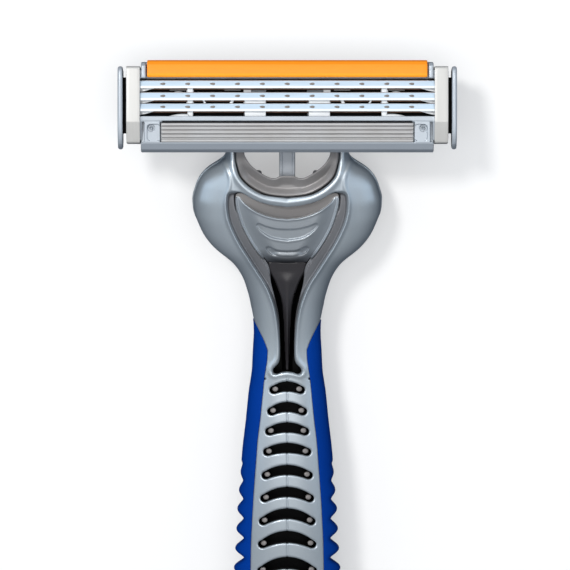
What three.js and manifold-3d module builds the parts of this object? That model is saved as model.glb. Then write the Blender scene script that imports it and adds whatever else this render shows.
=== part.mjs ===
// Cartridge razor: three-blade pivoting cartridge on a moulded handle.
//
// Two frames are used.
//   Face frame  (x, v, w): x across the cartridge, v from guard to cap, w out of the shaving face.
//   Handle frame (X, Y, Z): X across, Y along the handle towards the cartridge, Z out of its front.
// The handle leans back from the shaving face by HANDLE_ANGLE about x, and the two frames share
// one origin: the lower front edge of the cartridge. The finished razor lies on its back, level,
// with the heel of the head and the butt on Z = 0.
import * as THREE from 'three';
import { mergeVertices } from 'three/addons/utils/BufferGeometryUtils.js';
import { ParametricGeometry } from 'three/addons/geometries/ParametricGeometry.js';
import Module from 'manifold-3d';

const wasm = await Module();
wasm.setup();

// ---------------------------------------------------------------- driving dimensions (mm)
const HANDLE_ANGLE = 20 * Math.PI / 180;   // lean of the handle behind the shaving face
const REST_Z = -12.45;                     // height of the rest plane in the handle frame
const BBOX_MID_Y = -58.41;                 // middle of the length in the handle frame
const WALL = 1.15;                         // shell wall
const GAP = 0.15;                          // clearance round an assembled piece
const CARTRIDGE_HALF = 18.15;              // half width of the cartridge frame between the clips
const CARTRIDGE_END = 21.0;                // half width over the end flanges
const PIVOT_V = 2.2, PIVOT_W = -3.0;       // pivot axis in the face frame
const PIVOT_RANGE = 40 * Math.PI / 180;
const PLUNGER_ARM = 3.1;                   // plunger line to pivot axis
const PLUNGER_REST = 0.8;                  // contact point below the pivot at rest
const PLUNGER_HALF_W = 1.0, PLUNGER_HALF_T = 0.78;
const BUTTON_TRAVEL = 1.2;
const BLADE_EDGE_V = [7.92, 6.43, 5.07];   // cutting edges, cap side first
const BLADE_TILT = 22 * Math.PI / 180;
const BLADE_LEN = 1.0, BLADE_T = 0.1, SUPPORT_T = 0.16;
const BLADE_HALF_X = 19.0;
const CAVITY = { x: 19.3, v0: 4.45, v1: 9.12, floor: -2.9 };

const S = Math.sin(HANDLE_ANGLE), C = Math.cos(HANDLE_ANGLE);
const PIVOT_Y = PIVOT_V * C + PIVOT_W * S, PIVOT_Z = -PIVOT_V * S + PIVOT_W * C;
const PLUNGER_Z = PIVOT_Z - PLUNGER_ARM;

// Handle stations: Y, half width, front height, back height, all in the handle frame.
const PROFILE = [
  [1.2, -4.6, -8.4], [-2, -4.0, -9.3], [-5, -3.5, -10.9], [-9, -3.2, -12.2], [-13, -3.3, -12.7],
  [-17, -3.7, -12.6], [-21, -4.1, -12.1], [-26, -4.2, -11.6], [-32, -3.6, -11.2], [-38, -2.7, -11.0],
  [-46, -1.7, -10.9], [-54, -1.1, -11.0], [-62, -0.9, -11.2], [-72, -1.1, -11.5], [-84, -1.9, -12.0],
  [-96, -3.1, -12.5], [-108, -4.6, -12.75], [-118, -6.1, -12.6], [-124, -7.2, -12.0], [-127.6, -8.3, -11.0]];
const HALF_WIDTH = [
  [1.2, 7.5], [-1.9, 7.6], [-2.8, 7.9], [-3.6, 8.83], [-4.5, 10.1], [-5.3, 10.79], [-6.2, 11.3], [-7.0, 11.56],
  [-8.65, 11.95], [-10.3, 11.84], [-11.9, 11.29], [-13.2, 10.66], [-14.4, 9.79], [-15.2, 9.03], [-16.0, 8.03],
  [-16.84, 7.08], [-18.0, 6.22], [-19.3, 5.57], [-20.9, 5.07], [-22.5, 4.69], [-25.1, 4.45], [-26.5, 4.39],
  [-29.1, 4.52], [-31.7, 4.65], [-34.4, 5.04], [-38.3, 5.43], [-42.35, 5.89], [-45.2, 6.11], [-47.6, 6.32],
  [-50.2, 6.55], [-53.0, 6.68], [-55.7, 6.84], [-58.4, 7.02], [-64, 7.25], [-72, 7.35], [-80, 7.25], [-88, 6.95],
  [-95, 6.55], [-104, 6.0], [-112, 5.5], [-118, 5.05], [-122, 4.6], [-125, 3.9], [-126.8, 2.9], [-127.6, 1.7]];
const VALLEY = [[-42.35, 5.85], [-43.8, 5.71], [-46.4, 5.64], [-48.85, 5.6], [-51.6, 5.54], [-54.2, 5.48], [-57, 5.45],
  [-64, 5.6], [-72, 5.75], [-80, 5.85], [-88, 6.1], [-93, 6.45]];
const SCALLOP_PEAKS = [-45.18, -47.63, -50.22, -52.98, -55.69, -58.42];
while (SCALLOP_PEAKS.length < 18) SCALLOP_PEAKS.push(SCALLOP_PEAKS[SCALLOP_PEAKS.length - 1] - 2.75);
const CORE_HALF = [[-17.2, 4.6], [-19.5, 4.1], [-22, 3.5], [-26, 3.2], [-30, 3.4], [-36, 4.0], [-42, 4.7], [-46, 4.85],
  [-58, 4.9], [-64, 5.0], [-72, 5.15], [-84, 5.2], [-96, 5.0], [-104, 4.5], [-112, 3.9], [-116, 3.5], [-119, 3.1]];
// Edge of the silver spine against the side grips, half width at v (face frame).
const SPINE_EDGE = [[15, -17.6], [5.4, -18.3], [4.62, -19.1], [4.16, -20.9], [3.6, -22.1], [2.97, -23.4], [2.47, -24.7],
  [2.53, -26], [2.72, -27.2], [2.92, -28.5], [3.17, -31.0], [3.43, -33.6], [3.75, -36.2], [3.94, -38.7],
  [4.14, -41.3], [4.33, -43.9], [4.47, -46.4], [4.6, -49.0], [4.67, -51.6], [4.75, -58], [4.75, -66], [4.6, -76],
  [4.3, -86], [3.9, -96], [3.5, -106], [3.3, -125]];
// Arched windows of the spine: top, bottom at the middle, half width, v of the ends.
const WINDOWS = [[-28.68, -29.95, 2.24, -30.2], [-31.29, -32.56, 2.52, -32.94], [-33.9, -35.18, 2.79, -35.5],
  [-36.52, -37.8, 3.05, -38.12], [-39.34, -40.62, 3.25, -41.13], [-42.16, -43.45, 3.42, -44.09],
  [-44.93, -46.29, 3.6, -47.06], [-47.84, -49.39, 3.72, -50.04], [-51.21, -52.78, 3.83, -53.5],
  [-54.7, -56.3, 3.85, -57.0], [-58.3, -59.9, 3.85, -60.6], [-61.9, -63.5, 3.8, -64.2], [-65.5, -67.05, 3.7, -67.7],
  [-69.1, -70.6, 3.5, -71.2], [-72.6, -74.0, 3.2, -74.5], [-76.0, -77.2, 2.8, -77.6]];

// ---------------------------------------------------------------- helpers
const lerpTable = (t, y, k = 1) => {
  if (y >= t[0][0]) return t[0][k];
  for (let i = 1; i < t.length; i++) if (y >= t[i][0]) {
    const f = (y - t[i - 1][0]) / (t[i][0] - t[i - 1][0]);
    return t[i - 1][k] + f * (t[i][k] - t[i - 1][k]);
  }
  return t[t.length - 1][k];
};
// smooth reading of the side profile
const smooth = (t, y, k) => {
  const h = 1.2;
  return (lerpTable(t, y - h, k) + 2 * lerpTable(t, y, k) + lerpTable(t, y + h, k)) / 4;
};

function toSolid(geometry) {
  const g = geometry.clone();
  g.deleteAttribute('normal');
  g.deleteAttribute('uv');
  const m = mergeVertices(g, 1e-4);
  const idx = m.index.array, keep = [];
  for (let i = 0; i < idx.length; i += 3) {
    const [a, b, c] = [idx[i], idx[i + 1], idx[i + 2]];
    if (a !== b && b !== c && a !== c) keep.push(a, b, c);
  }
  const make = (tris) => new wasm.Manifold(new wasm.Mesh({
    numProp: 3, vertProperties: new Float32Array(m.attributes.position.array), triVerts: new Uint32Array(tris) }));
  let solid = make(keep);
  if (solid.volume() < 0) {
    const flipped = [];
    for (let i = 0; i < keep.length; i += 3) flipped.push(keep[i], keep[i + 2], keep[i + 1]);
    solid = make(flipped);
  }
  return solid;
}
function toGeometry(solid) {
  const mesh = solid.getMesh();
  const g = new THREE.BufferGeometry();
  const np = mesh.numProp, src = mesh.vertProperties, pos = new Float32Array(src.length / np * 3);
  for (let i = 0; i < src.length / np; i++) for (let k = 0; k < 3; k++) pos[3 * i + k] = src[np * i + k];
  g.setAttribute('position', new THREE.BufferAttribute(pos, 3));
  g.setIndex(new THREE.BufferAttribute(new Uint32Array(mesh.triVerts), 1));
  g.computeVertexNormals();
  return g;
}
const shapeOf = (pts) => new THREE.Shape(pts.map(([a, b]) => new THREE.Vector2(a, b)));
const mirrored = (half) => [...half, ...half.slice().reverse().filter(([x]) => Math.abs(x) > 1e-6).map(([x, y]) => [-x, y])];
// outline in the first two axes, extruded along the third
function prism(pts, d0, d1) {
  return new THREE.ExtrudeGeometry(shapeOf(pts), { depth: d1 - d0, bevelEnabled: false }).translate(0, 0, d0);
}
// outline in (second, third) axes, extruded across x
function across(pts, x0, x1) {
  const m = new THREE.Matrix4().set(0, 0, 1, 0, 1, 0, 0, 0, 0, 1, 0, 0, 0, 0, 0, 1);
  return prism(pts, x0, x1).applyMatrix4(m);
}
const faceToHandle = new THREE.Matrix4().makeRotationX(-HANDLE_ANGLE);
const inHandle = (geometry) => geometry.applyMatrix4(faceToHandle);
const handlePoint = (v, w) => [v * C + w * S, -v * S + w * C];
const box = (x0, x1, y0, y1, z0, z1) =>
  new THREE.BoxGeometry(x1 - x0, y1 - y0, z1 - z0).translate((x0 + x1) / 2, (y0 + y1) / 2, (z0 + z1) / 2);
function rodY(r, y0, y1, x, z, n = 16) {
  return new THREE.CylinderGeometry(r, r, Math.abs(y1 - y0), n).translate(x, (y0 + y1) / 2, z);
}
function rodX(r, x0, x1, y, z, n = 16) {
  return new THREE.CylinderGeometry(r, r, Math.abs(x1 - x0), n).rotateZ(Math.PI / 2).translate((x0 + x1) / 2, y, z);
}

// Closed loft along Y: ring(y) gives half width a, front f, back b and squareness n.
// lean tilts every ring about its own middle, as a slope of Y over Z.
function loft(stations, ring, around = 24, lean = 0) {
  const rows = [];
  const centre = (y) => { const r = ring(y); return Array.from({ length: around }, () => [0, y, (r.f + r.b) / 2]); };
  rows.push(centre(stations[0]));
  for (const y of stations) {
    const { a, f, b, n } = ring(y);
    const zm = (f + b) / 2, hb = (f - b) / 2, row = [];
    for (let i = 0; i < around; i++) {
      const t = (i + 0.5) / around * 2 * Math.PI, c = Math.cos(t), s = Math.sin(t);
      const dz = hb * Math.sign(s) * Math.abs(s) ** (2 / n);
      row.push([a * Math.sign(c) * Math.abs(c) ** (2 / n), y + lean * dz, zm + dz]);
    }
    rows.push(row);
  }
  rows.push(centre(stations[stations.length - 1]));
  const surface = (u, v, target) => {
    const j = Math.min(rows.length - 1, Math.round(v * (rows.length - 1))), i = Math.round(u * around) % around;
    target.set(...rows[j][i]);
  };
  return new ParametricGeometry(surface, around, rows.length - 1);
}

const peakWidth = (y) => lerpTable(HALF_WIDTH, y);
const valleyWidth = (y) => (y > -42.35 || y < -93) ? peakWidth(y) : Math.min(peakWidth(y), lerpTable(VALLEY, y));
const squareness = (y) => y > -16 ? 2.25 : y > -26 ? 2.25 + (-16 - y) / 10 * 0.35 : 2.6;
const ringAt = (a, y, off) => ({ a: a - off, f: smooth(PROFILE, y, 1) - off, b: smooth(PROFILE, y, 2) + off, n: squareness(y) });

// ---------------------------------------------------------------- handle envelope
const HEAD_Y = [1.2, -1.9, -2.8, -3.6, -4.5, -5.3, -6.2, -7.6, -9.2, -10.9, -12.6, -14.0, -15.2, -16.1, -17.0, -18.3, -20.0, -22.5, -25.5];
const GRIP_Y = [-29, -34, -40, -46, -54, -62, -70, -79, -88, -97, -106, -114, -119, -122, -124.6, -126.4, -127.6];
const smoothRing = (y) => ringAt((peakWidth(y) + valleyWidth(y)) / 2, y, 0);
const envelope = toSolid(loft([...HEAD_Y, ...GRIP_Y], smoothRing, 20));

const scallopY = [-18.3, -20.0, -22.5, -25.5, -29, -33, -37, -41, -42.9];
const scallopA = new Map(scallopY.map((y) => [y, peakWidth(y)]));
SCALLOP_PEAKS.forEach((y, i) => {
  const next = i + 1 < SCALLOP_PEAKS.length ? SCALLOP_PEAKS[i + 1] : y - 2.75;
  const valleyY = (y + next) / 2, d = (y - next) * 0.2;
  const low = valleyWidth(valleyY), high = peakWidth(y);
  for (const [yy, a] of [[y + d, high - 0.12], [y - d, high - 0.12], [valleyY, low]]) { scallopY.push(yy); scallopA.set(yy, a); }
});
for (const y of [-94.2, -98, -104, -110, -115]) { scallopY.push(y); scallopA.set(y, peakWidth(y)); }
// the scallops run square to the shaving face, so their rings lean in the handle frame
const SCALLOP_LEAN = Math.tan(HANDLE_ANGLE);
const leaningRing = (y) => {
  const flat = ringAt(scallopA.get(y), y, 0), reach = SCALLOP_LEAN * (flat.f - flat.b) / 2;
  return { ...flat, f: smooth(PROFILE, y + reach, 1), b: smooth(PROFILE, y - reach, 2) };
};
const gripEnvelope = toSolid(loft(scallopY, leaningRing, 16, SCALLOP_LEAN));

// core: black inlay the two spine halves and the grips are assembled round
const CORE_Y = [-17.2, -19.5, -22, -26, -30, -36, -44, -54, -64, -75, -86, -97, -108, -116, -119];
const coreRing = (off) => (y) => {
  const r = ringAt(lerpTable(CORE_HALF, y), y, WALL + GAP);
  return { a: lerpTable(CORE_HALF, y) - off, f: r.f - off, b: r.b + off, n: 2.8 };
};
const coreSolid = toSolid(loft(CORE_Y, coreRing(0), 16));
const coreRoom = toSolid(loft([-17.0, ...CORE_Y.slice(1, -1), -119.2], coreRing(-GAP), 16));
// hollow of the head, open towards the cartridge
const HOLLOW_Y = [1.9, -1.9, -2.8, -3.6, -4.5, -5.3, -6.2, -7.6, -9.2, -10.9, -12.6, -14.0, -15.2, -16.1, -17.05];
const hollow = toSolid(loft(HOLLOW_Y, (y) => {
  const r = ringAt(peakWidth(y), y, WALL);
  return { ...r, a: Math.max(r.a, 1) };
}, 20));

const outlineIn = (half, w0, w1) => toSolid(inHandle(prism(mirrored(half), w0, w1)));
const spineRegion = (grow) => outlineIn([[0, 12], [15, 12], ...SPINE_EDGE.map(([x, v]) => [x + grow, v + (x > 14 ? -grow : 0)]),
  [3.3 + grow, -150], [0, -150]], -90, 12);
const tipCut = toSolid(inHandle(box(-15, 15, 0.35, 14, -30, 20)));
const yokePocket = outlineIn([[0, 3], [6.55, 3], [6.53, 0.14], [6.4, -1.35], [5.91, -3.21], [4.59, -4.33], [2.91, -5.2], [0, -5.61]], -9.2, 6);
const seeThrough = outlineIn([[0, 3], [5.75, 3], [5.7, 0.3], [4.7, -1.4], [3.5, -2.6], [2.3, -3.2], [0, -3.2]], -30, 6);
const floorCut = toSolid(box(-20, 20, -140, 20, -30, REST_Z));
const halfSpace = (front, gap) => {
  const ys = [14, -2, -6, -10, -14, -18, -24, -32, -40, -50, -62, -75, -90, -105, -118, -140];
  const mid = ys.map((y) => [y, (smooth(PROFILE, y, 1) + smooth(PROFILE, y, 2)) / 2 + (front ? gap : -gap)]);
  return toSolid(across([...mid, [-140, front ? 10 : -30], [14, front ? 10 : -30]], -16, 16));
};
const buttWall = -114;
const beforeButt = toSolid(box(-20, 20, buttWall + GAP, 20, -30, 20));

// thumb button opening and black channel in the front of the head
const buttonHole = outlineIn([[0, -6.71], [2.04, -6.46], [3.91, -5.9], [5.66, -4.96], [6.6, -5.1], [6.47, -6.95], [5.82, -9.0],
  [4.85, -10.94], [3.8, -12.56], [2.8, -13.82], [2.3, -14.57], [2.18, -15.82], [1.8, -17.08], [1.48, -18.35], [1.17, -19.74],
  [0.94, -22.14], [0.92, -25.95], [1.18, -26.59], [1.77, -27.22], [1.75, -27.61], [1.18, -27.75], [0.54, -27.5], [0, -27.41]], -20, 4);
const recess = toSolid(inHandle(prism(mirrored([[0, -6.71], [2.04, -6.46], [3.91, -5.9], [5.66, -4.96], [7.0, -5.0], [7.67, -5.34], [7.67, -7.45],
  [7.22, -9.07], [6.18, -11.25], [4.76, -13.52], [3.68, -15.25], [2.61, -16.33], [1.9, -17.0], [0, -17.0]]), -20, 10)))
  .intersect(toSolid(across([[-2, 4], [-2, -3.5 - 0.9], [-9, -3.2 - 0.75], [-13, -3.3 - 0.75], [-17, -3.7 - 0.7], [-20, -3.95], [-20, 4]], -12, 12)));

function arch([top, bottom, hx, end]) {
  const outer = [], inner = [], n = 4;
  for (let i = 0; i <= n; i++) {
    const t = -1 + 2 * i / n;
    outer.push([hx * t, top + (end + 0.55 - top) * t * t]);
    inner.push([(hx - 0.55) * -t, bottom + (end - 0.15 - bottom) * t * t]);
  }
  return toSolid(inHandle(prism([...outer, [hx - 0.08, end + 0.02], ...inner, [-hx + 0.08, end + 0.02]].reverse(), -60, 20)));
}
const windowsCut = WINDOWS.map(arch).reduce((a, b) => a.add(b));
const frontOnly = halfSpace(true, 1.0);

// ---------------------------------------------------------------- handle pieces
const silver = envelope.intersect(spineRegion(0)).subtract(coreRoom).subtract(hollow).subtract(tipCut)
  .intersect(beforeButt).subtract(floorCut).subtract(seeThrough);
const frontShell = silver.intersect(halfSpace(true, GAP / 2)).subtract(yokePocket).subtract(recess)
  .subtract(buttonHole.intersect(frontOnly)).subtract(windowsCut.intersect(frontOnly));
const padPocket = toSolid(prism([[-2.9, -50], [-2.9, -98], [-1.9, -100.5], [1.9, -100.5], [2.9, -98], [2.9, -50], [1.9, -47.5], [-1.9, -47.5]].reverse(), -30, -6));
const backShell = silver.intersect(halfSpace(false, GAP / 2)).subtract(padPocket);

// ribbed pad in the back of the handle
const padRibs = [];
for (let y = -52; y > -97; y -= 5) padRibs.push(toSolid(box(-4, 4, y - 1.2, y + 1.2, -30, -8)));
const padOutline = toSolid(prism([[-2.72, -50.1], [-2.72, -97.9], [-1.8, -100.2], [1.8, -100.2], [2.72, -97.9], [2.72, -50.1], [1.8, -47.8], [-1.8, -47.8]].reverse(), -30, -6));
const padShape = (off) => toSolid(loft([-46, -52, -58, -64, -70, -76, -82, -88, -94, -102], (y) => ringAt((peakWidth(y) + valleyWidth(y)) / 2, y, off), 24));
const padBase = padShape(0.35).intersect(padOutline);
const padTop = padShape(0.05).intersect(padOutline).intersect(padRibs.reduce((a, b) => a.add(b)));
const backPad = padBase.add(padTop).intersect(halfSpace(false, 1)).subtract(coreRoom).subtract(floorCut);

const grips = gripEnvelope.subtract(spineRegion(GAP)).subtract(coreRoom).intersect(toSolid(box(-20, 20, -112.6, -15, -30, 20)))
  .subtract(floorCut);
const rightSide = toSolid(box(0.5, 20, -140, 20, -30, 20)), leftSide = toSolid(box(-20, -0.5, -140, 20, -30, 20));

const buttCap = envelope.subtract(coreRoom).subtract(toSolid(box(-20, 20, buttWall, 20, -30, 20))).subtract(floorCut);

const SPRING_Z = -9.3, plungerTail = -14.0;
const core = coreSolid.subtract(toSolid(rodY(1.25, -16, -20.8, 0, PLUNGER_Z, 14)))
  .subtract(toSolid(rodY(1.0, -16, -19.6, 0, SPRING_Z, 14)));

// ---------------------------------------------------------------- release button and ejector
const padOut = [[0, -8.35], [1.83, -8.15], [3.79, -7.55], [5.45, -6.45], [6.2, -6.6], [6.25, -7.1], [5.62, -9.05], [4.66, -10.9],
  [3.6, -12.5], [2.6, -13.75], [2.1, -14.5], [0, -14.9]];
const buttonTop = toSolid(inHandle(prism(mirrored(padOut), -20, 4))).intersect(toSolid(across(
  [[-6, -5.2], [-16.9, -5.2], [-16.9, -5.0], [-16.2, -4.7], [-15.2, -4.45], [-13.5, -4.0], [-12, -3.75], [-10.6, -3.62], [-9.5, -3.66], [-6, -3.8]], -12, 12)));
const buttonScoops = outlineIn([[0, -9.55], [2.2, -9.3], [3.8, -8.8], [3.85, -9.3], [2.4, -10.35], [0, -10.85]], -20, 4)
  .add(outlineIn([[0, -12.15], [1.5, -11.95], [2.5, -11.6], [2.6, -12.1], [1.5, -12.9], [0, -13.1]], -20, 4))
  .intersect(toSolid(across([[-8, -3.0], [-17, -3.0], [-17, -5.1], [-15, -4.75], [-13.5, -4.35], [-12, -4.08], [-10.6, -3.95], [-9, -3.98], [-8, -4.1]], -8, 8)));
const buttonFlange = toSolid(inHandle(prism(mirrored([[0, -6.82], [2.1, -6.6], [3.95, -6.1], [5.4, -5.6], [6.4, -6.3], [6.5, -7.1], [5.9, -9.1], [4.95, -11.0], [3.9, -12.6],
  [3.0, -13.9], [2.4, -14.9], [0, -15.4]]), -20, 4))).intersect(toSolid(box(-8, 8, -16.7, -4, -5.55, -5.15)));
const button = buttonTop.subtract(buttonScoops).add(buttonFlange);

const FORK_TIP = -9.7;
const ejector = toSolid(box(1.35, 2.65, -14.6, FORK_TIP, -7.7, -5.7))
  .add(toSolid(box(-2.65, -1.35, -14.6, FORK_TIP, -7.7, -5.7)))
  .add(toSolid(box(-2.65, 2.65, -14.6, -11.6, -10.2, -7.69)));

// ---------------------------------------------------------------- plunger
const PLUNGER_TIP = PIVOT_Y - PLUNGER_REST - 0.2;
const plunger = toSolid(box(-PLUNGER_HALF_W, PLUNGER_HALF_W, plungerTail + 0.8, PLUNGER_TIP, PLUNGER_Z - PLUNGER_HALF_T, PLUNGER_Z + PLUNGER_HALF_T))
  .add(toSolid(rodY(1.0, plungerTail, plungerTail + 1.2, 0, PLUNGER_Z, 14)));

class Helix extends THREE.Curve {
  constructor(r, wire, y0, y1, turns, z) { super(); Object.assign(this, { r, y0, y1, turns, z }); }
  getPoint(t, target = new THREE.Vector3()) {
    const a = t * this.turns * 2 * Math.PI;
    return target.set(this.r * Math.cos(a), this.y0 + (this.y1 - this.y0) * t, this.z + this.r * Math.sin(a));
  }
}
function coil(r, wire, y0, y1, turns, z) {
  const section = new THREE.Shape();
  for (let i = 0; i < 5; i++) {
    const a = i / 5 * 2 * Math.PI, p = [wire * Math.cos(a), wire * Math.sin(a)];
    if (i) section.lineTo(...p); else section.moveTo(...p);
  }
  return toSolid(new THREE.ExtrudeGeometry(section, { steps: turns * 8, extrudePath: new Helix(r, wire, y0, y1, turns, z), bevelEnabled: false }));
}
const plungerSpring = coil(0.76, 0.17, -14.35, -20.45, 5, PLUNGER_Z);
const buttonSpring = coil(0.6, 0.14, -14.85, -19.35, 5, SPRING_Z);

// ---------------------------------------------------------------- yoke
const yokeHalf = [[0, -5.43], [2.85, -5.03], [4.48, -4.18], [5.74, -3.12], [6.22, -1.35], [6.34, 0.2], [5.4, 0.2], [4.55, -1.4], [3.38, -2.4],
  [2.29, -2.98], [1.55, -3.1], [0.95, -2.85], [0, -2.85]];
const yokePlate = outlineIn(yokeHalf, -20, 4).intersect(toSolid(across(
  [[0.2, -3.95], [0.2, -5.5], [-1.0, -6.35], [-2.6, -6.8], [-4.5, -7.35], [-9.5, -7.55], [-9.5, -4.55], [-7.6, -4.5], [-5.4, -4.75], [-3.0, -4.15]].reverse(), -12, 12)));
const armOutline = [];
for (let i = 0; i <= 9; i++) {
  const a = (200 - i * 24) * Math.PI / 180;
  armOutline.push([PIVOT_Y + 0.9 * Math.cos(a), PIVOT_Z + 0.9 * Math.sin(a)]);
}
const arm = (s) => toSolid(across([...armOutline, [-1.2, -5.9], [-2.4, -6.2], [-2.4, -4.15], [-1.0, -4.0]].reverse(), s > 0 ? 5.42 : -6.32, s > 0 ? 6.32 : -5.42));
const trunnion = (s) => toSolid(rodX(0.65, s * 6.2, s * 7.7, PIVOT_Y, PIVOT_Z, 14));
const dockLeg = (s) => toSolid(box(s > 0 ? 3.2 : -4.6, s > 0 ? 4.6 : -3.2, -11.0, -4.8, -7.3, -6.1));
const yoke = yokePlate.add(arm(1)).add(arm(-1)).add(trunnion(1)).add(trunnion(-1)).add(dockLeg(1)).add(dockLeg(-1))
  .subtract(toSolid(box(-PLUNGER_HALF_W - 0.12, PLUNGER_HALF_W + 0.12, -12, -1, -9, PLUNGER_Z + PLUNGER_HALF_T + 0.12)));

// ---------------------------------------------------------------- cartridge (face frame)
const housingProfile = [[0, -2.9], [0, -1.5], [0.37, -0.95], [1.24, -0.5], [1.24, -1.2], [3.72, -1.2], [3.72, -0.3], [4.42, -0.12],
  [9.15, -0.25], [9.15, -1.4], [11.1, -1.4], [11.25, -2.3], [10.2, -4.2], [1.6, -4.2], [0.7, -3.4]];
const cornerPlate = [[1.2, -1.6], [1.2, -0.5], [2.4, -0.3], [3.75, -0.2], [3.75, -1.6]];
const endPost = [[9.1, -1.6], [9.1, 0.0], [9.3, 0.1], [10.7, 0.0], [11.07, -0.4], [11.07, -1.6]];
const endBlock = [[1.5, -3.9], [1.5, -1.05], [3.8, -0.1], [10.15, -0.1], [10.15, -4.1], [2.0, -4.1]];
const endNeck = [[2.4, -3.4], [2.4, -1.3], [9.3, -1.3], [9.3, -3.4]];
const endFlange = [[0.37, -1.9], [0.9, -1.0], [1.9, -0.1], [3.6, 0.35], [9.9, 0.35], [10.5, -0.1], [10.64, -0.8], [10.3, -3.4], [1.2, -3.4], [0.5, -2.7]];
let housing = toSolid(across(housingProfile.slice().reverse(), -CARTRIDGE_HALF, CARTRIDGE_HALF));
for (const s of [-1, 1]) {
  const at = (pts, a, b) => toSolid(across(pts.slice().reverse(), Math.min(s * a, s * b), Math.max(s * a, s * b)));
  housing = housing.add(at(cornerPlate, 15.75, 17.75)).add(at(endPost, 17.5, 18.1)).add(at(endBlock, 18.0, 19.95))
    .add(at(endNeck, 19.9, 20.4)).add(at(endFlange, 20.35, CARTRIDGE_END))
    .add(toSolid(new THREE.CylinderGeometry(0.32, 0.36, 0.4, 12).rotateX(Math.PI / 2).translate(s * 16.85, 2.97, -0.15)));
}
housing = housing.subtract(toSolid(box(-CAVITY.x, CAVITY.x, CAVITY.v0, CAVITY.v1, CAVITY.floor, 3)));
// light posts between the blades, rising from the cavity floor
const POSTS = [[-12.4, -11.75, 1], [11.75, 12.4, 1], [-5.3, -2.75, 2], [2.55, 5.25, 2]];
const legV = BLADE_EDGE_V.map((v) => v + (0.42 + 0.70) * Math.cos(BLADE_TILT) - 0.05);
let posts = null;
for (const [x0, x1, kind] of POSTS) {
  const spans = [[CAVITY.v0 - 0.1, BLADE_EDGE_V[2] + 0.2], [legV[2] + 0.15, BLADE_EDGE_V[1] + 0.2]];
  if (kind === 1) spans.push([legV[1] + 0.15, BLADE_EDGE_V[0] + 0.2]);
  for (const [a, b] of spans) {
    const p = toSolid(box(x0, x1, a, b, CAVITY.floor - 0.2, -0.95));
    posts = posts ? posts.add(p) : p;
  }
}
housing = housing.add(posts);
// rinse-through openings in the back
for (let i = 0; i < 5; i++) {
  const x = -13.6 + 6.8 * i;
  if (i !== 2) housing = housing.subtract(toSolid(box(x - 2.3, x + 2.3, 5.0, 8.6, -6, CAVITY.floor - 0.3)));
}
// bearing pockets for the yoke arms, open to the back
const bearingPocket = [[3.5, -1.8], [3.5, -6], [-0.6, -6], [-0.6, -2.45], [0.8, -2.2], [1.0, -1.8]];
for (const s of [-1, 1]) {
  housing = housing.subtract(toSolid(across(bearingPocket, s > 0 ? 5.0 : -6.9, s > 0 ? 6.9 : -5.0)));
  housing = housing.subtract(toSolid(rodX(0.8, s * 6.5, s * 7.9, PIVOT_V, PIVOT_W, 16)));
}
// cam foot: involute about the pivot, so the flat plunger tip follows it at a constant ratio
const cam = [];
for (let deg = -4; deg <= 44; deg += 6) {
  const p = deg * Math.PI / 180, s = PLUNGER_REST + PLUNGER_ARM * p;
  const y = -s * Math.cos(p) + PLUNGER_ARM * Math.sin(p) + PIVOT_Y, z = -s * Math.sin(p) - PLUNGER_ARM * Math.cos(p) + PIVOT_Z;
  cam.push([y * C - z * S, y * S + z * C]);
}
const camTip = cam[cam.length - 1];
const camFoot = [...cam, [camTip[0] + 0.9, camTip[1] - 0.15], [camTip[0] + 2.2, -5.2], [camTip[0] + 3.2, -4.0], [cam[0][0], -4.0]];
housing = housing.add(toSolid(across(camFoot, -1.5, 1.5)));

// black carrier plate on the cavity floor, with windows for the posts
let carrier = toSolid(box(-CAVITY.x + 0.15, CAVITY.x - 0.15, CAVITY.v0 + 0.12, CAVITY.v1 - 0.12, CAVITY.floor + 0.05, CAVITY.floor + 0.5));
for (const [x0, x1] of POSTS) carrier = carrier.subtract(toSolid(box(x0 - 0.12, x1 + 0.12, 4.2, 8.3, -4, 0)));
for (let i = 0; i < 5; i++) if (i !== 2) {
  const x = -13.6 + 6.8 * i;
  for (const v of [4.95, 6.3, 7.75]) carrier = carrier.subtract(toSolid(box(x - 1.0, x + 1.0, v - 0.0, v + 0.35, -4, 0)));
}

// guard strip with five fins
const fins = [[1.36, -1.12]];
const finTop = [[1.42, -0.42], [1.98, -0.3], [2.47, -0.2], [2.97, -0.12], [3.42, -0.05]];
finTop.forEach(([v, w]) => { fins.push([v - 0.16, w - 0.32], [v - 0.1, w], [v + 0.1, w + 0.02], [v + 0.17, w - 0.3]); });
fins.push([3.62, -1.12]);
const guard = toSolid(across(fins.slice().reverse().filter((p, i, a) => i === 0 || p[0] !== a[i - 1][0]), -15.6, 15.6));

const strip = toSolid(across([[9.3, -1.32], [9.28, -0.02], [9.6, 0.1], [10.3, 0.1], [10.95, -0.06], [11.32, -0.42], [11.43, -0.85], [11.3, -1.32]].reverse(), -17.35, 17.35));

// bent metal clip round each end
const clipPath = [[9.0, -4.55], [10.64, -4.55], [10.64, 0.05], [10.4, 0.27], [3.75, 0.27], [1.11, -0.8], [1.11, -4.55], [2.6, -4.55]];
const clipInner = [[2.6, -4.3], [1.36, -4.3], [1.36, -0.97], [3.8, 0.02], [10.3, 0.02], [10.39, -0.06], [10.39, -4.3], [9.0, -4.3]];
const clip = (s) => toSolid(across([...clipPath, ...clipInner].reverse(), s > 0 ? 18.22 : -19.9, s > 0 ? 19.9 : -18.22));

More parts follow.
